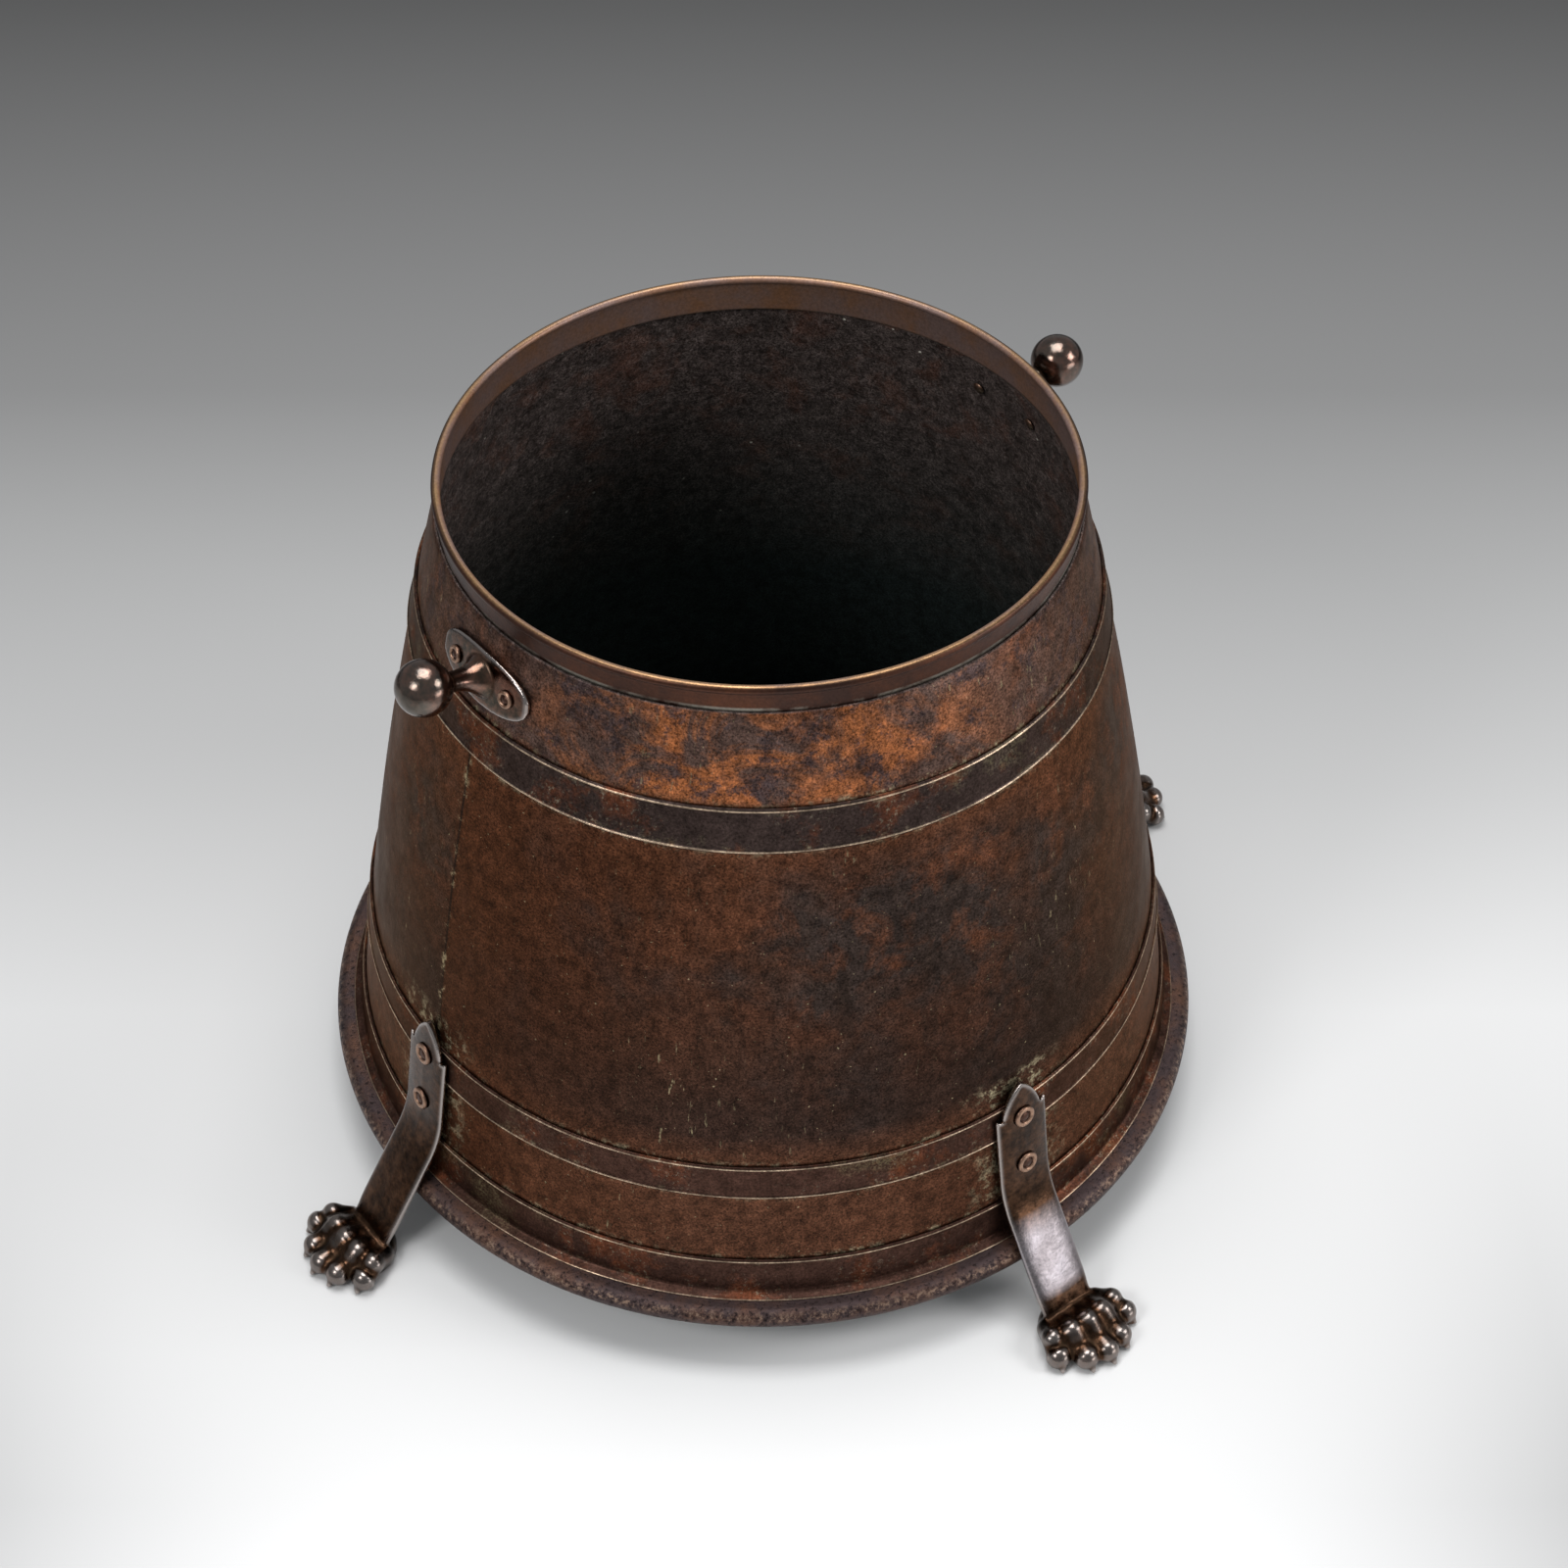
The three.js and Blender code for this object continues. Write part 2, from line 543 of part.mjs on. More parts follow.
/** How deep a rivet has to reach from its place to come out behind the sheet's flattest facet. */
function gripOf({ place, out }) {
  let depth = 0;
  const at = place.clone();
  while (Math.hypot(at.x, at.y) > (bodyRadius(at.z) - BODY_WALL) * Math.cos(Math.PI / FACETS)) {
    depth += 0.05;
    at.copy(place).addScaledVector(out, -depth);
  }
  return depth;
}

function addRivets(prefix, rivets, turns, labels, head, shank) {
  rivets.forEach((spot, i) => {
    const shape = rivet(head, shank, gripOf(spot)).applyMatrix4(rivetFrame(spot));
    for (const [side, turn] of Object.entries(turns)) {
      add(`${prefix}_${side}_${labels[i]}`, shape, rivetCopper, turn);
    }
  });
}

addRivets('leg_rivet', legRivets, legTurns, ['upper', 'lower'], LEG_RIVET_HEAD, LEG_RIVET_SHANK);
addRivets('handle_rivet', handleRivets, handleTurns, ['a', 'b'], HANDLE_RIVET_HEAD, HANDLE_RIVET_SHANK);

export default model;
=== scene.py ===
# %% [markdown]
# # A copper coal scuttle
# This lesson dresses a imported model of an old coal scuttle: a tapered copper bucket with beaded hoops, on
# four cast legs with lion's-paw feet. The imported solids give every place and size. Here each one gets a
# fine surface, worked out with numpy, and a material that is built from what the real metal is. Lengths
# are in metres, +Z is up, and the origin is on the floor under the middle of the bucket.

import bmesh
import bpy
import numpy as np
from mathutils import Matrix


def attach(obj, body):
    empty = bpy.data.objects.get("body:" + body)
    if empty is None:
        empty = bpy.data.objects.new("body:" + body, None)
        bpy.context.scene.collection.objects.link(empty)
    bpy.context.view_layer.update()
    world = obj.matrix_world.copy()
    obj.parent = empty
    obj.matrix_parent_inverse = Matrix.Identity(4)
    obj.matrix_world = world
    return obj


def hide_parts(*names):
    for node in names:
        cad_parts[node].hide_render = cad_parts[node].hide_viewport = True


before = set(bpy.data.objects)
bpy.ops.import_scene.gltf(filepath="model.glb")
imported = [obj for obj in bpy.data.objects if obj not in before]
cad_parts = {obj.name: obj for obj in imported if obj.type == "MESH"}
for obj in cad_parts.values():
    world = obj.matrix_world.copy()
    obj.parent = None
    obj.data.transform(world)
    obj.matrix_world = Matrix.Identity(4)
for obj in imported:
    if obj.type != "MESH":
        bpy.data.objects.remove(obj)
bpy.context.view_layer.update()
MM = 0.001
ROOT = "root"

# %% [markdown]
# ## The camera
# The photograph looks down into the bucket at about 45 degrees with a slightly long lens. The camera's
# place was worked out from the rim, the hoops and the foot, which all are circles, so it can be written as
# a point, a heading and a focal length.

# %% Place the camera
CAMERA_PLACE = (-0.6296, -0.8416, 1.2329)
CAMERA_HEADING = 52.584  # degrees from +X towards +Y
CAMERA_DROP = 45.034  # degrees below the horizontal
CAMERA_LENS = 66.36  # on a sensor 36 mm wide

camera_data = bpy.data.cameras.new("camera")
camera_data.lens = CAMERA_LENS
camera_data.sensor_width = 36
camera_data.clip_end = 50
camera = bpy.data.objects.new("camera", camera_data)
camera.location = CAMERA_PLACE
camera.rotation_euler = (np.radians(90 - CAMERA_DROP), 0, np.radians(CAMERA_HEADING - 90))
bpy.context.scene.collection.objects.link(camera)
bpy.context.scene.camera = camera
print("camera at", CAMERA_PLACE)

# %% [markdown]
# ## Surfaces from arrays
# Most of the scuttle is turned or spun, so one function carries a closed profile round the axis. A second
# function turns any grid of points into a mesh. Both work on whole arrays. A vertex can also keep numbers
# for the materials: `crest` is 1 on a raised edge that is painted pale, partly wear from hands and polish and
# partly a painted highlight, `groove` is 1 in a corner where dirt and old polish stay, and `inside` is 1 on
# the side that held the coal.

# %% Turn a grid of points into a mesh
def grid_mesh(points, wrap_u=False, wrap_v=False):
    """Quads over a grid P[u, v]: corner (u, v) joins (u+1, v), (u+1, v+1) and (u, v+1), wrapping if asked."""
    count_u, count_v = points.shape[:2]
    u = np.arange(count_u if wrap_u else count_u - 1)[:, None]
    v = np.arange(count_v if wrap_v else count_v - 1)[None, :]
    next_u, next_v = (u + 1) % count_u, (v + 1) % count_v
    corners = (u * count_v + v, next_u * count_v + v, next_u * count_v + next_v, u * count_v + next_v)
    return points.reshape(-1, 3), np.stack(np.broadcast_arrays(*corners), -1).reshape(-1, 4)


def joined(name, parts):
    """One mesh from (vertices, quads) parts."""
    starts = np.cumsum([0] + [len(vertices) for vertices, _ in parts])
    mesh = bpy.data.meshes.new(name)
    mesh.from_pydata(np.concatenate([vertices for vertices, _ in parts]), [],
                     np.concatenate([quads + start for (_, quads), start in zip(parts, starts)]))
    return mesh


def clean(mesh, near):
    """Merges points nearer than near, drops edges a tenth as long, and turns all faces outwards."""
    work = bmesh.new()
    work.from_mesh(mesh)
    bmesh.ops.remove_doubles(work, verts=work.verts, dist=near)
    bmesh.ops.dissolve_degenerate(work, edges=work.edges, dist=near / 10)
    bmesh.ops.recalc_face_normals(work, faces=work.faces)
    work.to_mesh(mesh)
    work.free()


def make_piece(name, parts, replaces=(), **values):
    """One smooth piece from (vertices, quads) parts, with the named values on its vertices. It rides on the
    part's one body and hides the nodes it replaces."""
    mesh = joined(name, parts)
    for key, value in values.items():
        layer = mesh.attributes.new(key, "FLOAT", "POINT")
        layer.data.foreach_set("value", np.ascontiguousarray(value, np.float32).ravel())
    clean(mesh, 1e-6)
    mesh.polygons.foreach_set("use_smooth", np.ones(len(mesh.polygons), bool))
    piece = bpy.data.objects.new(name, mesh)
    bpy.context.scene.collection.objects.link(piece)
    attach(piece, ROOT)
    if replaces:
        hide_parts(*replaces)
    print(name, len(mesh.vertices), "vertices")
    return piece


# %% Resample an outline evenly, and carry it round the axis
def outline(points, step):
    """A closed outline through (r, z) corners, with a point about every step along its straight sides."""
    corners = np.asarray(points, float)
    ends = np.roll(corners, -1, axis=0)
    counts = np.maximum(1, np.ceil(np.linalg.norm(ends - corners, axis=1) / step)).astype(int)
    shares = [np.arange(n)[:, None] / n for n in counts]
    return np.concatenate([a + (b - a) * t for a, b, t in zip(corners, ends, shares)])


def arc(centre, radius, start, stop, count):
    """Points (r, z) on a part of a circle, between two angles in degrees from outwards."""
    angle = np.radians(np.linspace(start, stop, count))
    return np.stack([centre[0] + radius * np.cos(angle), centre[1] + radius * np.sin(angle)], -1)


def spin(profile, facets, wave=None, closed=True):
    """P(a, k) = (r_k cos a, r_k sin a, z_k), where wave(a, z) is added to every radius r_k."""
    angle = np.linspace(0, 2 * np.pi, facets, endpoint=False)[:, None]
    radius = profile[None, :, 0] + (0 if wave is None else wave(angle, profile[None, :, 1]))
    height = profile[None, :, 1] + 0 * angle
    points = np.stack([radius * np.cos(angle), radius * np.sin(angle), height], -1) * MM
    return grid_mesh(points, wrap_u=True, wrap_v=closed)


# %% [markdown]
# ## The bucket's form
# The side isn't a straight cone. It swells a little, as sheet does that was worked over a stake: the
# radius is a straight taper plus half a sine wave. Every hoop, the legs and the knobs are laid on this one
# curve. From here on, lengths are named in millimetres and MM turns them into metres.

# %% The swelling cone, in millimetres
FOOT_Z, SEAM_Z = 42.5, 375.5
FOOT_R, NECK_R, BULGE = 217.5, 152.0, 5.0
WALL, SEAT = 1.0, 0.3
FACETS = 384


def side(z):
    """Outer radius of the body sheet at a height: lerp(neck, foot, t) + bulge * sin(pi t)."""
    t = (SEAM_Z - np.asarray(z, float)) / (SEAM_Z - FOOT_Z)
    return NECK_R + (FOOT_R - NECK_R) * t + BULGE * np.sin(np.pi * t)


def hand_worked(angle, z):
    """The sheet's slow dents: a few waves round the bucket that drift with height, 0.2 mm deep in all."""
    return (0.09 * np.sin(5 * angle + z / 41) + 0.06 * np.sin(11 * angle - z / 23 + 1.3)
            + 0.05 * np.sin(17 * angle + z / 15 + 0.4))


print("radius at the foot, middle and neck:", side([FOOT_Z, 209, SEAM_Z]))

# %% Body sheet, with its soldered top edge
FOOT_HOOP, LOWER_HOOP, UPPER_HOOP = (FOOT_Z, 65.5), (106.7, 126.7), (306.6, 329.3)
HOOP_EDGES = (FOOT_HOOP[1], *LOWER_HOOP, *UPPER_HOOP)
near_edges = np.add.outer(HOOP_EDGES, np.linspace(-6, 6, 13)).ravel()  # more rows, where the groove mark is
sheet_z = np.unique(np.concatenate([np.linspace(FOOT_Z, SEAM_Z - 0.6, 72), near_edges]))
sheet_outside = np.stack([side(sheet_z), sheet_z], -1)
sheet_edge = np.array([[NECK_R - 0.35, SEAM_Z - 0.1], [NECK_R - WALL, SEAM_Z]])
inside_z = np.linspace(SEAM_Z - 0.6, FOOT_Z, 60)
sheet_inside = np.stack([side(inside_z) - WALL, inside_z], -1)
body_profile = np.concatenate([sheet_outside, sheet_edge, sheet_inside])
to_edge = np.abs(np.subtract.outer(body_profile[:, 1], HOOP_EDGES)).min(axis=1)
is_inside = np.arange(len(body_profile)) >= len(sheet_outside)
body = make_piece("body_sheet", [spin(body_profile, FACETS, hand_worked)], ["bucket_body"],
                  groove=np.tile(np.exp(-(to_edge / 2.0) ** 2) * ~is_inside, FACETS),
                  inside=np.tile(is_inside, FACETS))

# %% [markdown]
# ## Hoops
# Each hoop is a strip of the same copper, with a narrow bead swaged along both edges to stiffen it. The
# bead catches the light, and its crest is marked for the material, which paints it pale: partly copper
# polished bright, partly a painted highlight. The strip follows the dents of the sheet under it. The foot
# hoop has a bead above and a flared lip below, which covers the base ring.

# %% Hoops with beads along their edges
HOOP_THICKNESS, BEAD_WIDTH, BEAD_PROUD, FOOT_LIP = 0.9, 2.2, 0.6, 5.0


def hoop(name, bottom, top, lip=0.0):
    """The strip's back is 0.3 mm off the sheet. Its face stands out by its thickness, plus cos^2 over each
    bead; the foot hoop's lower edge flares out by lip instead, as exp(-d^2)."""
    z = np.concatenate([np.linspace(bottom, bottom + 3, 22), np.linspace(bottom + 3.5, top - 3, 14),
                        np.linspace(top - 2.8, top, 20)])

    def bead(middle):
        across = (z - middle) / BEAD_WIDTH
        return np.where(np.abs(across) < 0.5, np.cos(np.pi * across) ** 2, 0)

    def fall(middle, width):
        return np.exp(-((z - middle) / width) ** 2)

    upper = bead(top - BEAD_WIDTH / 2)
    lower = fall(bottom, 1.4) if lip else bead(bottom + BEAD_WIDTH / 2)
    face = side(z) + SEAT + HOOP_THICKNESS + BEAD_PROUD * upper
    face = face + (lip - HOOP_THICKNESS if lip else BEAD_PROUD) * lower
    back = np.array([[side(top) + SEAT, top], [side(bottom) + SEAT, bottom]])
    profile = np.concatenate([np.stack([face, z], -1), back])
    # the bead tops and the lip's edge are marked to be painted pale: part wear, part painted highlight
    rubbed_and_highlit = np.maximum(upper, fall(bottom, 0.6) if lip else lower)
    crest = np.concatenate([np.clip(2.2 * rubbed_and_highlit - 1.2, 0, 1), [0, 0]])
    corner = bottom + (3.2 if lip else BEAD_WIDTH + 0.3)
    dirt = fall(top - BEAD_WIDTH - 0.3, 0.7) + fall(corner, 0.7)
    groove = np.concatenate([dirt, [1, 1]])
    grid = spin(profile, FACETS, hand_worked)
    return make_piece(name + "_beaded", [grid], [name], crest=np.tile(crest, FACETS),
                      groove=np.tile(groove, FACETS))


upper_hoop = hoop("upper_hoop", *UPPER_HOOP)
lower_hoop = hoop("lower_hoop", *LOWER_HOOP)
foot_hoop = hoop("foot_hoop", *FOOT_HOOP, lip=FOOT_LIP)

# %% [markdown]
# ## Collar and rolled rim
# The collar is a plain band, lapped inside the body sheet and soldered to it. Its top edge is rolled over
# a wire, outwards, over and down behind it, which gives the rim its round, strong edge.

# %% Collar with the rolled rim, and the wire inside it
COLLAR_R, COLLAR_WALL, COLLAR_FOOT = 150.7, 0.8, 370.0
ROLL_MIDDLE, ROLL_R, WIRE_R = (150.0, 387.7), 2.15, 0.85

collar_profile = np.concatenate([
    outline([[COLLAR_R, COLLAR_FOOT], [COLLAR_R, 385.6]], 0.8)[:20],
    arc(ROLL_MIDDLE, ROLL_R, -68, 200, 30),
    arc(ROLL_MIDDLE, ROLL_R - COLLAR_WALL, 200, -50, 16),
    np.stack([np.full(20, COLLAR_R - COLLAR_WALL), np.linspace(385.9, COLLAR_FOOT, 20)], -1),
])
rim_top_polish_and_highlight = np.clip((collar_profile[:, 1] - 389.3) / 0.5, 0, 1)  # only the top of the roll is painted bright: partly polished metal, partly a painted highlight
collar = make_piece("collar_rolled", [spin(collar_profile, FACETS)], ["neck_collar"],
                    crest=np.tile(rim_top_polish_and_highlight, FACETS), inside=np.tile(collar_profile[:, 0] < 150.2, FACETS))
rim_wire = make_piece("rim_wire_round", [spin(arc(ROLL_MIDDLE, WIRE_R, 0, 330, 12), 240)], ["rim_wire"])
print("rolled rim stands", ROLL_MIDDLE[0] + ROLL_R - COLLAR_R, "mm proud of the collar")

# %% [markdown]
# ## Floor and base ring
# The floor is a disc of sheet that coal has knocked about, so it waves a little. Under it the base ring is
# a strip rolled to a heavy round edge, with a flat flange that carries the bucket.

# %% Floor plate and base ring
FLOOR_R, FLOOR_TOP = 216.2, 44.0
RING_MIDDLE, RING_ROLL = (226.6, 36.2), 6.0
FLANGE_R, FLANGE_FOOT, FLANGE_TOP = 203.6, 39.7, 42.2
floor_r = np.concatenate([np.linspace(0, FLOOR_R, 90), np.linspace(FLOOR_R, 0, 12)])
floor_z = np.concatenate([np.full(90, FLOOR_TOP), np.full(12, FOOT_Z)])
floor_z[:90] -= 0.25 * np.sin(floor_r[:90] / 19) ** 2
floor_plate = make_piece("floor_plate_sheet", [spin(np.stack([floor_r, floor_z], -1), 240)], ["floor_plate"])

ring_profile = np.concatenate([
    outline([[FLANGE_R, FLANGE_FOOT], [RING_MIDDLE[0] - RING_ROLL, FLANGE_FOOT],
             [RING_MIDDLE[0] - RING_ROLL, 33.2]], 2.0)[:-4],
    arc(RING_MIDDLE, RING_ROLL, 215, 450, 48),
    np.stack([np.linspace(225, FLANGE_R, 12), np.full(12, FLANGE_TOP)], -1),
])
ring_crest = np.exp(-((ring_profile[:, 1] - 39.5) / 1.6) ** 2) * (ring_profile[:, 0] > 229)
base_ring = make_piece("base_ring_rolled", [spin(ring_profile, FACETS)], ["base_ring"],
                       crest=np.tile(ring_crest, FACETS))

# %% [markdown]
# ## Cast pieces
# A leg and a knob were each poured in one piece, so their forms melt into each other. Each form is worked
# out as its own closed surface. Blender's voxel remesh then fuses them, and a little smoothing leaves the
# soft inside corners of a casting. How far each point stands proud of its neighbours tells where the metal
# is painted pale, as polish and painted highlight, and where dirt stays.

# %% Fuse closed surfaces into one casting
VOXEL = 0.5


def read(items, key, kind, width):
    """One value of every item of a mesh, as an array with width columns."""
    values = np.empty(len(items) * width, kind)
    items.foreach_get(key, values)
    return values.reshape(-1, width)


def fuse(parts, voxel, rounds, soft_place=None, soft_radius=1.0, soft_rounds=0):
    """Remeshes the parts' union at a voxel size, then moves each point half way to its neighbours' mean,
    rounds times. Round soft_place (x, z), a filed inside corner, it does so soft_rounds times more, by a
    share that falls off as exp(-(d / radius)^2). Returns points, quads, and how far each point is proud (+)
    or sunk (-), from -1 to 1."""
    mesh = joined("rough_casting", parts)
    clean(mesh, 1e-7)
    rough = bpy.data.objects.new("rough_casting", mesh)
    bpy.context.scene.collection.objects.link(rough)
    remesh = rough.modifiers.new("fuse", "REMESH")
    remesh.mode = "VOXEL"
    remesh.voxel_size = voxel * MM
    fused = bpy.data.meshes.new_from_object(rough.evaluated_get(bpy.context.evaluated_depsgraph_get()))
    points = read(fused.vertices, "co", float, 3)
    quads = read(fused.polygons, "vertices", int, 4)
    edges = read(fused.edges, "vertices", int, 2)
    both = np.concatenate([edges, edges[:, ::-1]])
    degree = np.bincount(both[:, 0], minlength=len(points))[:, None]

    def neighbours_mean(values):
        sums = [np.bincount(both[:, 0], values[both[:, 1], k], len(points)) for k in range(values.shape[1])]
        return np.stack(sums, -1) / degree

    for _ in range(rounds):
        points = 0.5 * points + 0.5 * neighbours_mean(points)
    if soft_rounds:
        away = np.linalg.norm(points[:, [0, 2]] / MM - soft_place, axis=1)
        share = 0.5 * np.exp(-(away / soft_radius) ** 2)[:, None]
        for _ in range(soft_rounds):
            points = points + share * (neighbours_mean(points) - points)
    fused.vertices.foreach_set("co", points.ravel())
    fused.update()
    wide = points
    for _ in range(5):
        wide = neighbours_mean(wide)
    proud = np.sum((points - wide) * read(fused.vertices, "normal", float, 3), axis=1)[:, None]
    for _ in range(2):
        proud = neighbours_mean(proud)
    proud = np.clip(proud[:, 0] / np.percentile(np.abs(proud), 97), -1, 1)
    bpy.data.objects.remove(rough)
    bpy.data.meshes.remove(mesh)
    bpy.data.meshes.remove(fused)
    return points, quads, proud


def turned(points, degrees):
    """Points turned about the bucket's axis."""
    angle = np.radians(degrees)
    spin_matrix = np.array([[np.cos(angle), -np.sin(angle), 0], [np.sin(angle), np.cos(angle), 0], [0, 0, 1]])
    return points @ spin_matrix.T


def rounded(angle, power):
    """sign(sin) |sin|^power: with a power under one, a circle's coordinate becomes that of a rounded box."""
    return np.sign(np.sin(angle)) * np.abs(np.sin(angle)) ** power


# %% [markdown]
# ## Leg straps
# A leg's strap is worked out in the plane of X, outwards, and Z. Its back lies on the lower hoop's two
# beads. Below the lower rivet it bends out to the paw. Its top is a pointed arch between two small horns,
# drawn by a quadratic curve.

# %% The strap's path and surface
LOW_BEAD, HIGH_BEAD, TAB_Z = 107.8, 125.6, 140.0
STRAP_HALF, TAB_HALF, TAB_LENGTH, HORN = 15.5, 12.0, 20.0, 2.0
STRAP_THICKNESS, SHIN_THICKNESS = 3.6, 5.0
CROWN, SHIN_CROWN = 0.9, 0.4  # how much higher the middle is than the edges, and how much more on the shin
RIVET_DROPS = {"upper": 21.5, "lower": 53.0}
CORNER_DROP, BEND_LENGTH = 72.0, 12.5
PAW_REACH, WRIST = 285.0, (258.0, 11.5)


def bead_radius(z):
    return side(z) + SEAT + HOOP_THICKNESS + BEAD_PROUD


seat_slope = (bead_radius(LOW_BEAD) - bead_radius(HIGH_BEAD)) / (HIGH_BEAD - LOW_BEAD)
seat_down = np.array([seat_slope, -1]) / np.hypot(1, seat_slope)
seat_out = np.array([1, seat_slope]) / np.hypot(1, seat_slope)
tab_tip = np.array([bead_radius(HIGH_BEAD) - seat_slope * (TAB_Z - HIGH_BEAD), TAB_Z]) + SEAT * seat_out


def on_seat(drop):
    """The point (x, z) on the strap's back, a distance below the tab's point."""
    return tab_tip + np.multiply.outer(drop, seat_down)


def strap_surface():
    """P(s, a): along the path s the section is a rounded box, cos and sin of a raised to a small power. Its
    back sags with the bucket's curve, y^2 / 2R, and its face falls away from the middle as (y / half)^2."""
    t = np.linspace(1, 0, 34)[:, None]
    arch_half = ((1 - t) ** 2 + 1.5 * t * (1 - t)) * TAB_HALF
    arch_drop = ((1 - t) ** 2 + 0.64 * t * (1 - t)) * TAB_LENGTH
    corner = on_seat(CORNER_DROP) + STRAP_THICKNESS * seat_out
    shin = np.array(WRIST) - corner
    bend_start = corner - BEND_LENGTH * seat_down
    bend_end = corner + BEND_LENGTH * shin / np.linalg.norm(shin)
    straight = np.linspace(TAB_LENGTH + 0.02, CORNER_DROP - BEND_LENGTH, 60)[:, None]
    u = np.linspace(0, 1, 24)[1:, None]
    bend = (1 - u) ** 2 * bend_start + 2 * u * (1 - u) * corner + u ** 2 * bend_end
    v = np.linspace(0, 1, 50)[1:, None]
    lower = bend_end + v * (np.array(WRIST) - bend_end)
    face = np.concatenate([on_seat(arch_drop[:, 0]) + STRAP_THICKNESS * seat_out,
                           on_seat(straight[:, 0]) + STRAP_THICKNESS * seat_out, bend, lower])
    half = np.concatenate([arch_half, np.full((len(face) - len(t), 1), STRAP_HALF)])
    ahead = np.gradient(face, axis=0)
    ahead /= np.linalg.norm(ahead, axis=1)[:, None]
    out = np.stack([-ahead[:, 1], ahead[:, 0]], -1)
    bent = np.concatenate([np.zeros(len(t) + len(straight)), u[:, 0], np.ones(len(v))])[:, None]
    thickness = STRAP_THICKNESS + (SHIN_THICKNESS - STRAP_THICKNESS) * bent
    a = np.linspace(0, 2 * np.pi, 72, endpoint=False)[None, :]
    y = half * rounded(a + np.pi / 2, 0.30)
    depth = thickness / 2 * (1 - rounded(a, 0.42))
    sag = (1 - bent) * y ** 2 / (2 * bead_radius(LOW_BEAD))
    crown = (CROWN + SHIN_CROWN * bent) * (y / STRAP_HALF) ** 2 * (1 - depth / thickness)
    below = np.clip((np.arange(len(face))[:, None] - len(t) + 1) / 12, 0, 1)
    horn = HORN * np.clip((np.abs(y) - TAB_HALF) / (STRAP_HALF - TAB_HALF), 0, 1) * (1 - below)
    xz = face[:, None, :] - (depth + sag + crown)[..., None] * out[:, None, :] - horn[..., None] * seat_down
    points = np.stack([xz[..., 0], y, xz[..., 1]], -1) * MM
    ends = [np.broadcast_to(ring.mean(0), ring.shape)[None] for ring in (points[0], points[-1])]
    return grid_mesh(np.concatenate([ends[0], points, ends[1]]), wrap_v=True)


print("seat slope", round(float(seat_slope), 4), "tab tip", tab_tip)

# %% [markdown]
# ## Lion's paws
# A paw is a blend of soft forms: a pad, a bar across it under the knuckles, and five toes that each arch
# over a knuckle and come down to an end joint with a short claw. A distance function says how far any
# point is from that blend. From a centre in the pad, a ray goes out in every direction, and the surface is
# where the ray last leaves the blend. That is a function of two angles, so the paw is one grid. The sole
# is cut flat.

# %% The paw as a distance function, and its surface by marching along rays
TOE_PITCH, TOE_SIZE, TOE_LENGTH, PAW_HEIGHT, CLAW = 11.0, 6.3, 13.0, 19.5, 6.6
KNUCKLE_PITCH, KNUCKLE_BACK = 9.8, 15.0
PAW_MIDDLE = np.array([266.0, 0.0, 5.0])
PAD_MIDDLE, PAD_SIZE = np.array([264.0, 0.0, 3.0]), np.array([19.5, 21.5, 10.5])
BAR_START, BAR_STOP, BAR_R = (270, -10, 7.5), (270, 10, 7.5), 8.5
RAY_START, RAY_STEPS, RAY_SHARE = 48.0, 70, 0.75


def limb_distance(points, start, stop, start_r, stop_r):
    """Distance to a straight limb whose radius goes evenly from start_r to stop_r."""
    start, along = np.asarray(start, float), np.subtract(stop, start)
    share = np.clip((points - start) @ along / (along @ along), 0, 1)
    away = np.linalg.norm(points - start - share[:, None] * along, axis=1)
    return away - start_r - share * (stop_r - start_r)


def blend(a, b, width):
    """The smaller of two distances, eased where they are within width of each other."""
    return np.minimum(a, b) - np.maximum(width - np.abs(a - b), 0) ** 2 / (4 * width)


def paw_distance(points):
    """Pad, bar, five toes and their claws, blended, and cut by the floor. The pad is an ellipsoid: its
    distance is k (k - 1) / |g|, where k = |p / size| and g = p / size^2. The knuckles stand close together,
    and the end joints fan out from them, the outer ones lower and further back."""
    pad = points - PAD_MIDDLE
    scaled = np.linalg.norm(pad / PAD_SIZE, axis=1)
    distance = scaled * (scaled - 1) / np.maximum(np.linalg.norm(pad / PAD_SIZE ** 2, axis=1), 1e-9)
    distance = blend(distance, limb_distance(points, BAR_START, BAR_STOP, BAR_R, BAR_R), 3)
    for n in (-2, -1, 0, 1, 2):
        joint = np.array([PAW_REACH - 2.9 * n * n, n * TOE_PITCH, 0.98 * TOE_SIZE])
        knuckle_z = PAW_HEIGHT - TOE_SIZE - 0.7 * n * n
        knuckle = np.array([PAW_REACH - KNUCKLE_BACK - n * n, n * KNUCKLE_PITCH, knuckle_z])
        ahead = (joint - knuckle) * [1, 1, 0] / np.linalg.norm((joint - knuckle)[:2])
        root = knuckle - 0.7 * TOE_LENGTH * ahead - [0, 0, 0.35 * knuckle[2]]
        waist = 0.5 * (joint + knuckle) - [0, 0, 1.4]
        tip = joint + CLAW * ahead
        tip[2] = 0.3 * TOE_SIZE
        toe = limb_distance(points, root, knuckle, 0.65 * TOE_SIZE, 0.84 * TOE_SIZE)
        toe = blend(toe, limb_distance(points, knuckle, waist, 0.95 * TOE_SIZE, 0.78 * TOE_SIZE), 1.2)
        toe = blend(toe, limb_distance(points, waist, joint, 0.78 * TOE_SIZE, 1.04 * TOE_SIZE), 1.2)
        claw = limb_distance(points, joint + 0.5 * CLAW * ahead, tip, 0.42 * TOE_SIZE, 0.22 * TOE_SIZE)
        distance = blend(distance, blend(toe, claw, 0.8), 3.2)
    return np.maximum(distance, -points[:, 2])


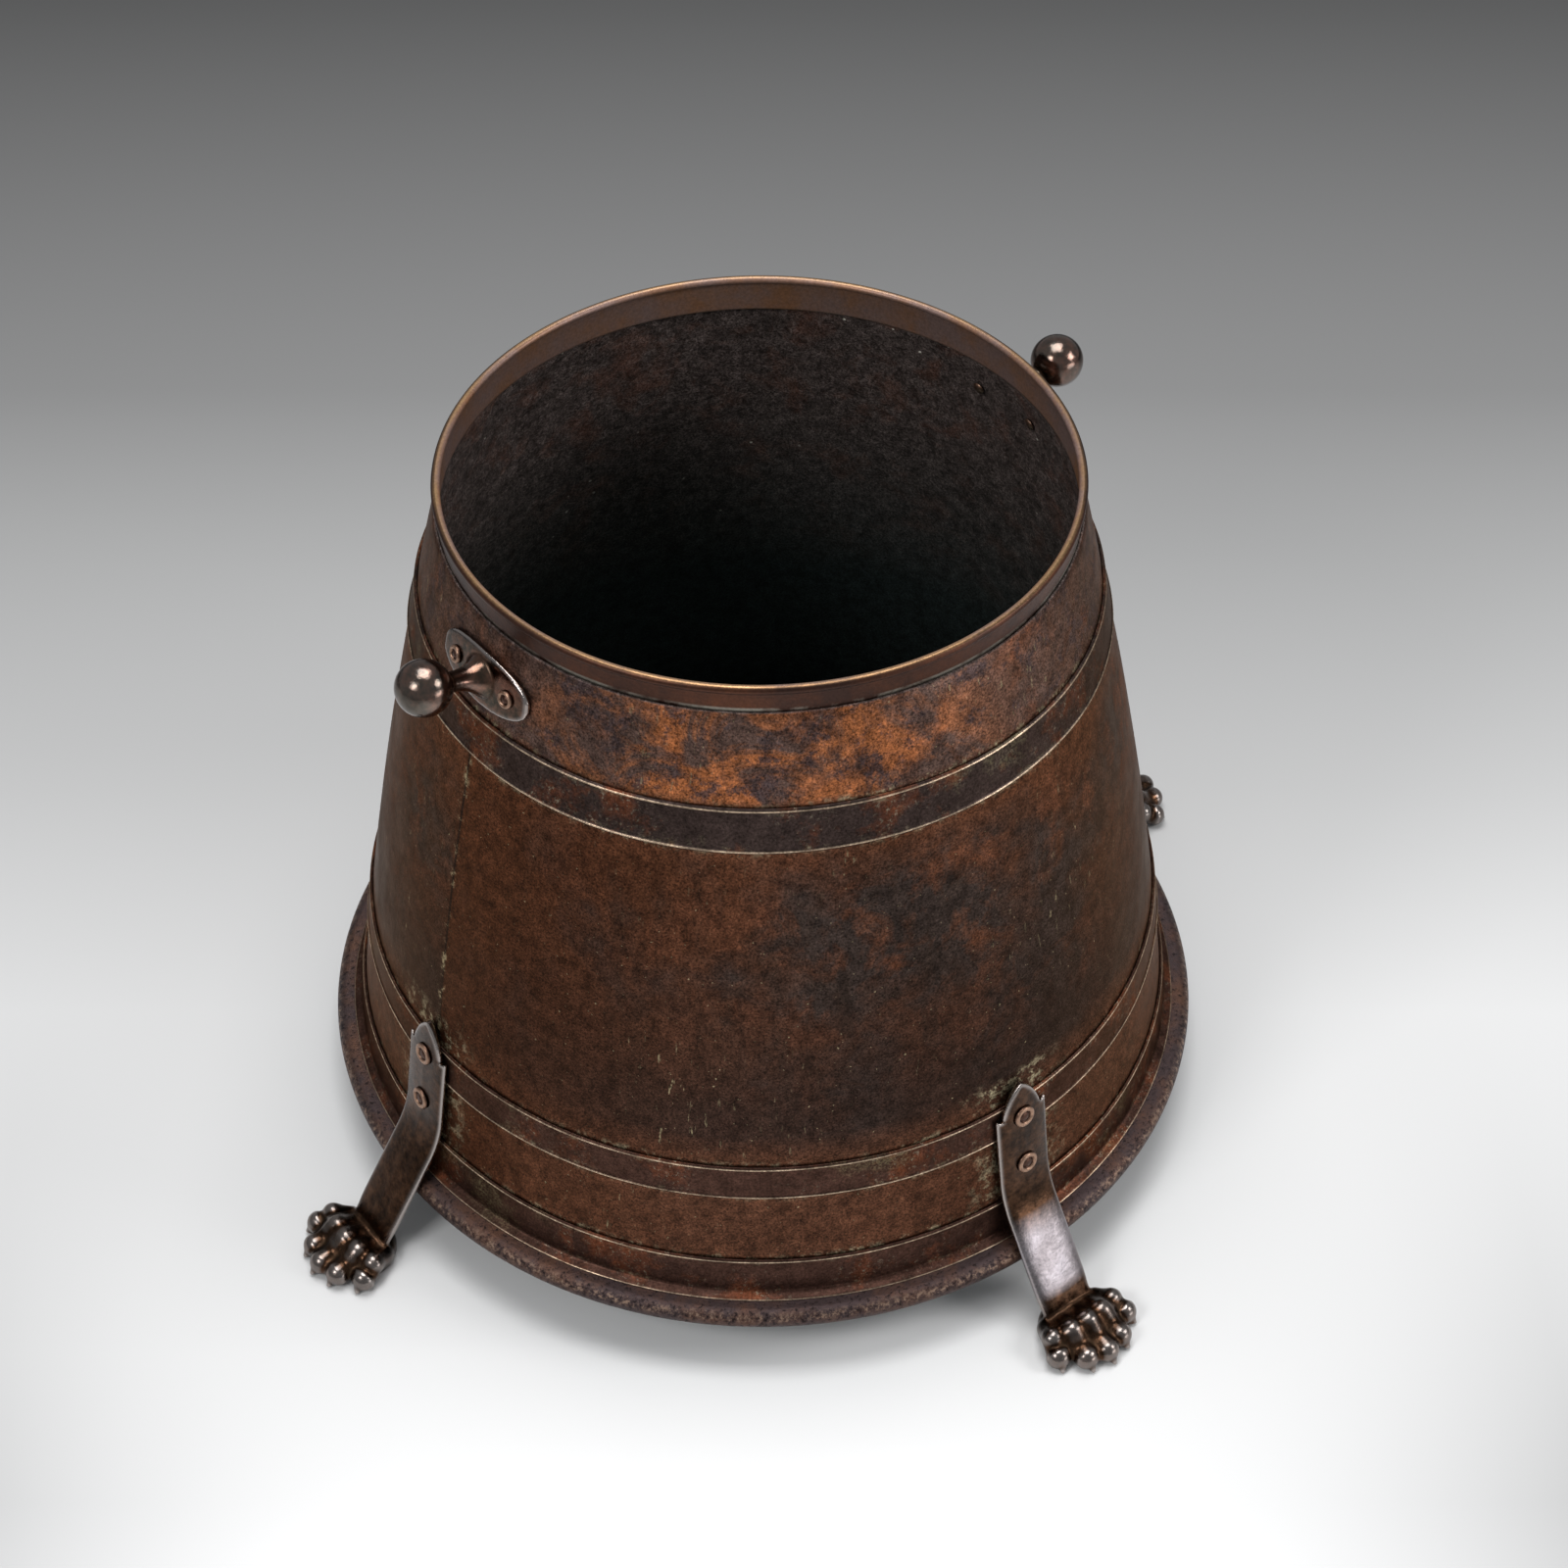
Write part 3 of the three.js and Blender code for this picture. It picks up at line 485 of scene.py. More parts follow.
def paw_surface():
    """P(u, v): from PAW_MIDDLE towards longitude u and latitude v, marched inwards to distance zero in
    steps that are a share of the distance left."""
    u = np.linspace(0, 2 * np.pi, 300, endpoint=False)[:, None]
    v = np.linspace(-np.pi / 2, np.pi / 2, 150)[None, :]
    rays = np.stack([np.cos(u) * np.cos(v), np.sin(u) * np.cos(v), np.sin(v) + 0 * u], -1).reshape(-1, 3)
    reach = np.full(len(rays), RAY_START)
    for _ in range(RAY_STEPS):
        reach -= RAY_SHARE * paw_distance(PAW_MIDDLE + reach[:, None] * rays)
    points = (PAW_MIDDLE + reach[:, None] * rays).reshape(len(u), -1, 3) * MM
    return grid_mesh(points, wrap_u=True)


# %% Four legs, a quarter turn apart
leg_points, leg_quads, leg_proud = fuse([strap_surface(), paw_surface()], VOXEL, 2,
                                        soft_place=(257.0, 13.0), soft_radius=6.5, soft_rounds=60)
leg_points[:, 2] = np.maximum(leg_points[:, 2], 0)
LEG_TURNS = {"right": 0, "back": 90, "left": 180, "front": 270}
legs = [make_piece(f"leg_{place}_cast", [(turned(leg_points, turn), leg_quads)], [f"leg_{place}"],
                   proud=leg_proud) for place, turn in LEG_TURNS.items()]

# %% [markdown]
# ## Carrying knobs
# A long oval plate is bent round the shoulder. From its middle a trumpet-shaped neck rises to a ball. All
# three are one casting, fixed by two rivets.

# %% Knob plate, neck and ball
HANDLE_Z, HANDLE_TURN = 350.0, 1.6
PLATE_HALF, PLATE_RISE_HALF, PLATE_THICKNESS = 31.5, 13.5, 3.0
KNOB_R, STANDOFF, TILT = 13.2, 33.5, 18.0
NECK_WAIST, NECK_FLARE = 4.8, 10.5


def plate_surface():
    """P(s, a): along the plate s in (-1, 1) its half height is H (1 - s^2)^0.4, bent to the bucket's radius;
    across it the section is a rounded box that sits 0.3 mm off the sheet."""
    s = -np.cos(np.linspace(0, np.pi, 90))[:, None]
    half = PLATE_RISE_HALF * (1 - s ** 2) ** 0.4
    a = np.linspace(0, 2 * np.pi, 64, endpoint=False)[None, :]
    z = HANDLE_Z + half * rounded(a + np.pi / 2, 0.5)
    thick = PLATE_THICKNESS * np.clip(half / 5, 0, 1)
    lift = SEAT + PLATE_THICKNESS / 2 + 0.5 * thick * rounded(a, 0.55) - 0.5 * (PLATE_THICKNESS - thick)
    turn = s * PLATE_HALF / side(HANDLE_Z)
    r = side(z) + lift
    return grid_mesh(np.stack([r * np.cos(turn), r * np.sin(turn), z], -1) * MM, wrap_v=True)


def knob_surface():
    """A profile spun about the knob's own axis: a neck whose radius falls as the cube of the distance from
    the plate, a slim waist and a ball. The axis leaves the plate at TILT degrees above the horizontal."""
    rise = np.linspace(1.0, STANDOFF - 0.93 * KNOB_R, 40)
    fall = np.clip(1 - (rise - PLATE_THICKNESS) / (rise[-1] - PLATE_THICKNESS), 0, 1)
    neck = np.stack([NECK_WAIST + (NECK_FLARE - NECK_WAIST) * fall ** 3, rise], -1)
    start = np.pi - np.arcsin(NECK_WAIST / KNOB_R)
    a = np.linspace(start, 0, 60)
    ball = np.stack([KNOB_R * np.sin(a), STANDOFF + KNOB_R * np.cos(a)], -1)
    profile = np.concatenate([[[0, rise[0]]], neck, ball[1:]])
    points, quads = spin(profile, 96, closed=False)
    tilt = np.radians(90 - TILT)
    tip_over = np.array([[np.cos(tilt), 0, np.sin(tilt)], [0, 1, 0], [-np.sin(tilt), 0, np.cos(tilt)]])
    return points @ tip_over.T + np.array([side(HANDLE_Z), 0, HANDLE_Z]) * MM, quads


knob_points, knob_quads, knob_proud = fuse([plate_surface(), knob_surface()], VOXEL, 3)
KNOB_TURNS = {"right": HANDLE_TURN, "left": 180 + HANDLE_TURN}
handles = [make_piece(f"handle_{place}_cast", [(turned(knob_points, turn), knob_quads)], [f"handle_{place}"],
                      proud=knob_proud) for place, turn in KNOB_TURNS.items()]

# %% [markdown]
# ## Rivets
# Each rivet was closed over a ring-shaped washer, and its end was hammered to a small dome in the middle.
# The shank goes through all the layers, and a flat tail holds it inside.

# %% Rivets through the legs and plates
RIVET_RISE = 1.25
LEG_HEAD, LEG_SHANK, LEG_GRIP = 6.0, 1.7, 7.6
PLATE_HEAD, PLATE_SHANK, PLATE_GRIP, PLATE_RIVET_OFFSET = 4.4, 1.4, 4.9, 19.0


def rivet_surface(head, shank, grip, place, out):
    """The rivet's outline spun about its own axis, then turned so that the axis runs along out. The washer is
    a half-round ring, z = sqrt(1 - u^2), and the shank's end is a dome, z = (1 - r^2)^0.7."""
    r = head * (1 - np.linspace(0, 1, 48))
    ring = RIVET_RISE * np.sqrt(np.clip(1 - ((r - 0.76 * head) / (0.24 * head)) ** 2, 0, 1))
    dome = 0.9 * RIVET_RISE * np.clip(1 - (r / (0.5 * head)) ** 2, 0, 1) ** 0.7
    back = np.array([[0, -grip - 1.4], [0.75 * head, -grip - 0.8], [0.75 * head, -grip - SEAT],
                     [shank, -grip - SEAT], [shank, SEAT], [head, SEAT]])
    face = np.stack([r, SEAT + 0.15 + np.maximum(ring, dome)], -1)
    points, quads = spin(np.concatenate([back, face]), 48, closed=False)
    crest = np.concatenate([np.full(len(back), 0.6), np.clip(2 * ring / RIVET_RISE - 0.6, 0, 1)])
    out = np.asarray(out, float) / np.linalg.norm(out)
    across = np.cross([0, 0, 1], out)
    across /= np.linalg.norm(across)
    axes = np.stack([across, np.cross(out, across), out], 1)
    return points @ axes.T + np.asarray(place) * MM, quads, np.tile(crest, 48)


rivets = []
for label, drop in RIVET_DROPS.items():
    x, z = on_seat(drop) + STRAP_THICKNESS * seat_out
    points, quads, crest = rivet_surface(LEG_HEAD, LEG_SHANK, LEG_GRIP, (x, 0, z),
                                         (seat_out[0], 0, seat_out[1]))
    rivets += [make_piece(f"leg_rivet_{place}_{label}_set", [(turned(points, turn), quads)],
                          [f"leg_rivet_{place}_{label}"], crest=crest)
               for place, turn in LEG_TURNS.items()]

plate_slope = float(side(HANDLE_Z - 5) - side(HANDLE_Z + 5)) / 10
plate_face = (side(HANDLE_Z) + PLATE_THICKNESS + SEAT, 0, HANDLE_Z)
points, quads, crest = rivet_surface(PLATE_HEAD, PLATE_SHANK, PLATE_GRIP, plate_face, (1, 0, plate_slope))
for label, end in (("a", -1), ("b", 1)):
    swing = np.degrees(end * PLATE_RIVET_OFFSET / side(HANDLE_Z))
    rivets += [make_piece(f"handle_rivet_{place}_{label}_set", [(turned(points, turn + swing), quads)],
                          [f"handle_rivet_{place}_{label}"], crest=crest)
               for place, turn in KNOB_TURNS.items()]

# %% [markdown]
# ## Building materials from nodes
# Every material is a net of nodes that reads the object's own coordinates in metres, so a pattern's scale
# is a count per metre: a noise of scale 900 has grains of about a millimetre. One function adds a node,
# sets it, links it and gives back its output. Colours are picked as they look on a screen and turned into
# linear light. A metal's colour is laid on in coats: each coat is a mask, from 0 to 1, and the colour that
# lies there. Many sockets are called by number. A Map Range takes its value at 0 and carries it from the
# range 1 to 2 over to the range 3 to 4, which is 0 to 1 if it isn't given. A Mix takes its share at 0, and
# then two numbers at 2 and 3 or two colours at 6 and 7; its colour comes out at 2.

# %% The node helper, colours and a way to dress pieces
def add(tree, kind, inputs=None, out=0, **settings):
    """Adds one node and gives back its output out. Settings are its properties; inputs are values, or
    output sockets to link."""
    made = tree.nodes.new("ShaderNode" + kind)
    for key, value in settings.items():
        setattr(made, key, value)
    for key, value in (inputs or {}).items():
        if isinstance(value, bpy.types.NodeSocket):
            tree.links.new(value, made.inputs[key])
        else:
            made.inputs[key].default_value = value
    return made.outputs[out] if made.outputs else None


def srgb(code):
    """A hex colour as linear light: c / 12.92 in the darkest part, else ((c + 0.055) / 1.055)^2.4."""
    c = np.array([int(code[k:k + 2], 16) for k in (1, 3, 5)]) / 255
    return (*np.where(c > 0.04045, ((c + 0.055) / 1.055) ** 2.4, c / 12.92).tolist(), 1.0)


def new_material(name):
    """An empty material, its tree and the object coordinates."""
    material = bpy.data.materials.new(name)
    material.use_nodes = True
    material.node_tree.nodes.clear()
    return material, material.node_tree, add(material.node_tree, "TexCoord", out="Object")


def dress(worn_by, material, shader):
    """Ends the material in its shader and puts it on the pieces."""
    add(material.node_tree, "OutputMaterial", {"Surface": shader})
    for piece in worn_by:
        piece.data.materials.append(material)
    print(material.name, "on", len(worn_by), "pieces,", len(material.node_tree.nodes), "nodes")


print("dark brown in linear light:", srgb("#3a2218"))

# %% [markdown]
# ## Patinated copper sheet
# The body was raised from copper sheet and has gone brown: the air grew a thin dark oxide over the metal,
# in patches where hands and polish left it thicker or thinner. Soft cloudy patches, streaks that run down
# the side and a fine grain give it depth. The sheet is darker towards the foot and warmer in a strip
# beside the hoops, where the polishing rag turned.

# %% Copper sheet: patches, clouds, streaks and grain
copper, tree, place = new_material("patinated copper sheet")
height = add(tree, "SeparateXYZ", {0: place}, out="Z")
drawn_down = add(tree, "Mapping", {"Vector": place, "Scale": (1, 1, 0.10)})
patches = add(tree, "TexNoise", {"Vector": place, "Scale": 8, "Detail": 5, "Roughness": 0.6})
clouds = add(tree, "TexNoise", {"Vector": place, "Scale": 34, "Detail": 6, "Roughness": 0.68,
                                "Distortion": 0.4})
streaks = add(tree, "TexNoise", {"Vector": drawn_down, "Scale": 70, "Detail": 4, "Roughness": 0.6})
mottle = add(tree, "TexNoise", {"Vector": place, "Scale": 130, "Detail": 8, "Roughness": 0.75})
grain = add(tree, "TexNoise", {"Vector": place, "Scale": 900, "Detail": 3, "Roughness": 0.7})
cool_patches = add(tree, "MapRange", {0: patches, 1: 0.47, 2: 0.57})
warm_spots = add(tree, "MapRange", {0: clouds, 1: 0.50, 2: 0.66})
dark_streaks = add(tree, "MapRange", {0: streaks, 1: 0.54, 2: 0.72, 4: 0.6})
low_zone = add(tree, "MapRange", {0: height, 1: 0.26, 2: 0.16, 4: 0.85})
low_edge = add(tree, "MapRange", {0: height, 1: 0.145, 2: 0.128})
top_edge = add(tree, "MapRange", {0: height, 1: 0.282, 2: 0.303})
by_hoop = add(tree, "Math", {0: low_edge, 1: top_edge}, operation="MAXIMUM")
by_hoop = add(tree, "MapRange", {0: by_hoop, 4: 0.5})
print("copper sheet so far:", len(tree.nodes), "nodes")

# %% [markdown]
# The sheet's two ends meet in an upright seam on the left, below the knob. How far a point lies beyond the
# seam's plane gives a thin dark line, crumbs of pale solder along it, and a warmer side that fades away
# from it.

# %% The soldered seam
SEAM_ANGLE = 180.8  # degrees from +X towards +Y
seam_normal = (float(np.sin(np.radians(SEAM_ANGLE))), float(-np.cos(np.radians(SEAM_ANGLE))), 0.0)
past_seam = add(tree, "VectorMath", {0: place, 1: seam_normal}, out="Value", operation="DOT_PRODUCT")
off_seam = add(tree, "Math", {0: past_seam}, operation="ABSOLUTE")
at_left = add(tree, "SeparateXYZ", {0: place}, out="X")
at_left = add(tree, "MapRange", {0: at_left, 1: -0.04, 2: -0.10})
fading = add(tree, "MapRange", {0: past_seam, 1: -0.14, 2: -0.03, 4: 0.55})
warm_side = add(tree, "MapRange", {0: past_seam, 1: 0.0, 2: -0.0008})
for mask in (fading, at_left):
    warm_side = add(tree, "Math", {0: warm_side, 1: mask}, operation="MULTIPLY")
seam_line = add(tree, "MapRange", {0: off_seam, 1: 0.0011, 2: 0.0004})
seam_line = add(tree, "Math", {0: seam_line, 1: at_left}, operation="MULTIPLY")
crumbled = add(tree, "MapRange", {0: mottle, 1: 0.53, 2: 0.60, 4: 0.9})
solder = add(tree, "MapRange", {0: off_seam, 1: 0.0030, 2: 0.0010})
for mask in (at_left, crumbled):
    solder = add(tree, "Math", {0: solder, 1: mask}, operation="MULTIPLY")
print("seam at", SEAM_ANGLE, "degrees")

# %% [markdown]
# On the shoulder the oxide wears through to orange copper in patches, and the side facing the camera gets
# the most orange, as a painted highlight. Dark stains lie on top.

# %% The shoulder's wear, with its painted highlight
TOWARDS_CAMERA = (-0.605, -0.796, 0.0)  # the direction towards the camera, where the shoulder's painted highlight is strongest
shoulder = add(tree, "MapRange", {0: height, 1: 0.327, 2: 0.333})
shoulder_tone = add(tree, "Mix", {0: warm_spots, 6: srgb("#56433c"), 7: srgb("#6a4535")}, out=2,
                    data_type="RGBA")
# painted highlight: the orange is laid on most where the shoulder faces the camera
facing_camera = add(tree, "VectorMath", {0: place, 1: TOWARDS_CAMERA}, out="Value", operation="DOT_PRODUCT")
facing_camera = add(tree, "MapRange", {0: facing_camera, 1: 0.116, 2: 0.151, 3: 0.12})
worn_and_sheen = add(tree, "TexNoise", {"Vector": place, "Scale": 24, "Detail": 8, "Roughness": 0.72,
                              "Distortion": 0.8})
worn_and_sheen = add(tree, "MapRange", {0: worn_and_sheen, 1: 0.46, 2: 0.60, 4: 0.92})
for mask in (shoulder, facing_camera):
    worn_and_sheen = add(tree, "Math", {0: worn_and_sheen, 1: mask}, operation="MULTIPLY")
stain = add(tree, "TexNoise", {"Vector": place, "Scale": 48, "Detail": 8, "Roughness": 0.78, "W": 4.0},
            noise_dimensions="4D")
stain = add(tree, "MapRange", {0: stain, 1: 0.52, 2: 0.58, 4: 0.85})
stain = add(tree, "Math", {0: stain, 1: shoulder}, operation="MULTIPLY")
print("shoulder worn most towards", TOWARDS_CAMERA)

# %% [markdown]
# Small scratches run downwards in a few places, and pale specks lie everywhere. Dried polish fills the
# corners beside the hoops, where the groove mark is, and gathers round the legs' tabs. The legs stand on
# the X and Y axes, so the smaller of |x| and |y| tells how far a point is to the side of the nearest leg.

# %% Scratches, specks and dried polish
scratches = add(tree, "TexNoise", {"Vector": drawn_down, "Scale": 380, "Detail": 3, "Roughness": 0.6})
scratches = add(tree, "MapRange", {0: scratches, 1: 0.64, 2: 0.70})
in_places = add(tree, "TexNoise", {"Vector": place, "Scale": 12, "Detail": 3, "W": 9.0},
                noise_dimensions="4D")
in_places = add(tree, "MapRange", {0: in_places, 1: 0.52, 2: 0.64, 4: 0.8})
scratches = add(tree, "Math", {0: scratches, 1: in_places}, operation="MULTIPLY")
specks = add(tree, "TexNoise", {"Vector": place, "Scale": 520, "Detail": 2, "Roughness": 0.5, "W": 5.0},
             noise_dimensions="4D")
specks = add(tree, "MapRange", {0: specks, 1: 0.70, 2: 0.74, 4: 0.8})
for mask in (specks, solder):
    scratches = add(tree, "Math", {0: scratches, 1: mask}, operation="MAXIMUM")

from_axes = add(tree, "VectorMath", {0: place}, operation="ABSOLUTE")
from_x, from_y = [add(tree, "SeparateXYZ", {0: from_axes}, out=axis) for axis in "XY"]
by_leg = add(tree, "Math", {0: from_x, 1: from_y}, operation="MINIMUM")
by_leg = add(tree, "MapRange", {0: by_leg, 1: 0.034, 2: 0.016})
below_tip = add(tree, "MapRange", {0: height, 1: 0.148, 2: 0.140})
by_leg = add(tree, "Math", {0: by_leg, 1: below_tip}, operation="MULTIPLY")
crumbs = add(tree, "TexNoise", {"Vector": place, "Scale": 160, "Detail": 5, "Roughness": 0.75})
crumbs = add(tree, "MapRange", {0: crumbs, 1: 0.50, 2: 0.60})
here = add(tree, "MapRange", {0: patches, 1: 0.42, 2: 0.58, 3: 1.0, 4: 0.15})
here = add(tree, "Math", {0: here, 1: by_leg}, operation="MAXIMUM")
residue = add(tree, "Attribute", out="Fac", attribute_name="groove")
residue = add(tree, "Math", {0: residue, 1: by_leg}, operation="MAXIMUM")
for mask in (crumbs, here):
    residue = add(tree, "Math", {0: residue, 1: mask}, operation="MULTIPLY")
print("copper sheet so far:", len(tree.nodes), "nodes")

# %% [markdown]
# Inside, soot makes the sheet nearly black and dull, with felted fibres of ash, rusty places and a few
# white flecks. Further down it turns greener and darker, and the darkening is painted shade. The metal itself
# is hidden there, so it counts as less metallic.

# %% The sooty inside, and the sheet's shader
EDGE_TINT = srgb("#cdbcb0")  # oxide takes some of the shine that a clean metal has at a grazing angle
inside = add(tree, "Attribute", out="Fac", attribute_name="inside")
fibres = add(tree, "TexNoise", {"Vector": place, "Scale": 260, "Detail": 6, "Roughness": 0.8,
                                "Distortion": 2.0})
fibres = add(tree, "MapRange", {0: fibres, 1: 0.40, 2: 0.66})
rusty = add(tree, "Math", {0: warm_spots, 1: 0.45}, operation="MULTIPLY")
flecks = add(tree, "TexVoronoi", {"Vector": place, "Scale": 75}, out="Distance", feature="F1")
flecks = add(tree, "MapRange", {0: flecks, 1: 0.07, 2: 0.05})
few = add(tree, "MapRange", {0: patches, 1: 0.50, 2: 0.52})
flecks = add(tree, "Math", {0: flecks, 1: few}, operation="MULTIPLY")
# painted shade: the inside is painted darker, and greener, towards the bottom
depth_shade = add(tree, "MapRange", {0: height, 1: 0.31, 2: 0.16})
soot = srgb("#2f2624")
for mask, code in ((fibres, "#776a66"), (rusty, "#6e4636"), (flecks, "#cfc8bc"), (depth_shade, "#232b2b")):
    soot = add(tree, "Mix", {0: mask, 6: soot, 7: srgb(code)}, out=2, data_type="RGBA")

coats = (
    (cool_patches, srgb("#382e2a")), (warm_spots, srgb("#5e3a29")), (dark_streaks, srgb("#32261f")),
    (low_zone, srgb("#2a1f1b")), (by_hoop, srgb("#633d29")), (warm_side, srgb("#4c2a18")),
    (seam_line, srgb("#241a16")), (shoulder, shoulder_tone), (worn_and_sheen, srgb("#a8663d")),
    (stain, srgb("#44393a")), (scratches, srgb("#8d8064")), (residue, srgb("#9a8f74")), (inside, soot),
)
tone = srgb("#4d2f20")
for mask, colour in coats:
    tone = add(tree, "Mix", {0: mask, 6: tone, 7: colour}, out=2, data_type="RGBA")
grain_light = add(tree, "MapRange", {0: grain, 1: 0.32, 2: 0.68, 3: 0.25, 4: 1.75})
mottle_light = add(tree, "MapRange", {0: mottle, 1: 0.36, 2: 0.64, 3: 0.50, 4: 1.50})
for light in (grain_light, mottle_light):
    tone = add(tree, "Mix", {0: 1.0, 6: tone, 7: light}, out=2, data_type="RGBA", blend_type="MULTIPLY")
rough = add(tree, "MapRange", {0: clouds, 1: 0.35, 2: 0.70, 3: 0.34, 4: 0.50})
rough = add(tree, "Mix", {0: inside, 2: rough, 3: 0.75})
metal = add(tree, "MapRange", {0: inside, 3: 0.85, 4: 0.35})
bump = add(tree, "Bump", {"Height": grain, "Strength": 0.35, "Distance": 0.0002})
bump = add(tree, "Bump", {"Height": clouds, "Strength": 0.4, "Distance": 0.0009, "Normal": bump})
shader = add(tree, "BsdfPrincipled", {"Base Color": tone, "Metallic": metal, "Roughness": rough,
                                      "Normal": bump, "Specular Tint": EDGE_TINT})
dress([body], copper, shader)

# %% [markdown]
# ## Dark hoops
# The hoops are copper too, but were never polished as hard, so they stayed brown-black, with olive places
# and pale flecks of corrosion. Rubbing wore the tops of the beads down to bright copper, which the crest
# mark finds; their pale cream is partly that copper and partly a painted highlight. Dried polish stays
# beside the beads, where the groove mark is.

# %% Dark copper bands
hoop_metal, tree, place = new_material("dark copper bands")
height = add(tree, "SeparateXYZ", {0: place}, out="Z")
clouds = add(tree, "TexNoise", {"Vector": place, "Scale": 26, "Detail": 6, "Roughness": 0.7})
mottle = add(tree, "TexNoise", {"Vector": place, "Scale": 110, "Detail": 8, "Roughness": 0.75})
grain = add(tree, "TexNoise", {"Vector": place, "Scale": 800, "Detail": 3, "Roughness": 0.7})
low_down = add(tree, "MapRange", {0: height, 1: 0.15, 2: 0.28, 3: 1.0, 4: 0.0})
warm = add(tree, "MapRange", {0: clouds, 1: 0.51, 2: 0.64, 4: 0.8})
olive = add(tree, "TexNoise", {"Vector": place, "Scale": 11, "Detail": 6, "Roughness": 0.7, "W": 2.0},
            noise_dimensions="4D")
olive = add(tree, "MapRange", {0: olive, 1: 0.57, 2: 0.68, 4: 0.7})
spots = add(tree, "MapRange", {0: grain, 1: 0.40, 2: 0.60})
olive = add(tree, "Math", {0: olive, 1: spots}, operation="MULTIPLY")
flecks = add(tree, "TexNoise", {"Vector": place, "Scale": 420, "Detail": 4, "Roughness": 0.8})
flecks = add(tree, "MapRange", {0: flecks, 1: 0.58, 2: 0.64, 4: 0.8})
cluster = add(tree, "MapRange", {0: clouds, 1: 0.46, 2: 0.58})
flecks = add(tree, "Math", {0: flecks, 1: cluster}, operation="MULTIPLY")
crumbs = add(tree, "TexNoise", {"Vector": place, "Scale": 150, "Detail": 5, "Roughness": 0.75})
crumbs = add(tree, "MapRange", {0: crumbs, 1: 0.52, 2: 0.64, 4: 0.8})
here = add(tree, "MapRange", {0: clouds, 1: 0.44, 2: 0.60})
residue = add(tree, "Attribute", out="Fac", attribute_name="groove")
for mask in (crumbs, here):
    residue = add(tree, "Math", {0: residue, 1: mask}, operation="MULTIPLY")
# painted highlight, in part: the bead crests are painted pale cream, copper polished bright plus a highlight
crest = add(tree, "Attribute", out="Fac", attribute_name="crest")
rubbed_and_highlit = add(tree, "TexNoise", {"Vector": place, "Scale": 45, "Detail": 4, "Roughness": 0.7})
rubbed_and_highlit = add(tree, "MapRange", {0: rubbed_and_highlit, 1: 0.36, 2: 0.56, 3: 0.40})
bright = add(tree, "Math", {0: crest, 1: rubbed_and_highlit}, operation="MULTIPLY")

coats = ((low_down, "#402c25"), (warm, "#6b3d28"), (olive, "#6f6a4e"), (flecks, "#857d6c"),
         (residue, "#8b8068"), (bright, "#dcc2a6"))
tone = srgb("#3a2f2c")
for mask, code in coats:
    tone = add(tree, "Mix", {0: mask, 6: tone, 7: srgb(code)}, out=2, data_type="RGBA")
grain_light = add(tree, "MapRange", {0: grain, 1: 0.32, 2: 0.68, 3: 0.5, 4: 1.5})
mottle_light = add(tree, "MapRange", {0: mottle, 1: 0.36, 2: 0.64, 3: 0.62, 4: 1.38})
for light in (grain_light, mottle_light):
    tone = add(tree, "Mix", {0: 1.0, 6: tone, 7: light}, out=2, data_type="RGBA", blend_type="MULTIPLY")
rough = add(tree, "MapRange", {0: clouds, 1: 0.35, 2: 0.70, 3: 0.36, 4: 0.52})
rough = add(tree, "Mix", {0: bright, 2: rough, 3: 0.24})
bump = add(tree, "Bump", {"Height": grain, "Strength": 0.35, "Distance": 0.0002})
shader = add(tree, "BsdfPrincipled", {"Base Color": tone, "Metallic": 0.9, "Roughness": rough,
                                      "Normal": bump, "Specular Tint": EDGE_TINT})
dress([upper_hoop, lower_hoop, foot_hoop], hoop_metal, shader)

# %% [markdown]
# ## Collar and rim
# The collar is the part that hands reach first. Its band is red-brown, and the very top of its rolled edge
# has a yellow gleam painted on, partly polished metal and partly a painted highlight. A silver-grey line of
# solder shows just above the seam. Inside, the band is mauve and tan.

# %% Red-brown collar with a gleaming rim and a solder line
collar_metal, tree, place = new_material("red-brown copper collar")
height = add(tree, "SeparateXYZ", {0: place}, out="Z")
clouds = add(tree, "TexNoise", {"Vector": place, "Scale": 30, "Detail": 6, "Roughness": 0.7})
grain = add(tree, "TexNoise", {"Vector": place, "Scale": 700, "Detail": 3, "Roughness": 0.7})
warm = add(tree, "MapRange", {0: clouds, 1: 0.40, 2: 0.65})
seam = add(tree, "MapRange", {0: height, 1: 0.3768, 2: 0.3778, 3: 1.0, 4: 0.0})
uneven = add(tree, "MapRange", {0: clouds, 1: 0.44, 2: 0.58})
seam = add(tree, "Math", {0: seam, 1: uneven}, operation="MULTIPLY")
# painted highlight, in part: the top of the roll is painted a yellow gleam over polished metal
crest = add(tree, "Attribute", out="Fac", attribute_name="crest")
rubbed_and_highlit = add(tree, "MapRange", {0: clouds, 1: 0.36, 2: 0.62, 3: 0.25})
bright = add(tree, "Math", {0: crest, 1: rubbed_and_highlit}, operation="MULTIPLY")
inside = add(tree, "Attribute", out="Fac", attribute_name="inside")
mauve = add(tree, "Mix", {0: warm, 6: srgb("#7d665f"), 7: srgb("#876046")}, out=2, data_type="RGBA")
coats = ((warm, srgb("#553425")), (seam, srgb("#89847a")), (inside, mauve), (bright, srgb("#927352")))
tone = srgb("#3b2923")
for mask, colour in coats:
    tone = add(tree, "Mix", {0: mask, 6: tone, 7: colour}, out=2, data_type="RGBA")
light = add(tree, "MapRange", {0: grain, 1: 0.25, 2: 0.75, 3: 0.72, 4: 1.28})
tone = add(tree, "Mix", {0: 1.0, 6: tone, 7: light}, out=2, data_type="RGBA", blend_type="MULTIPLY")
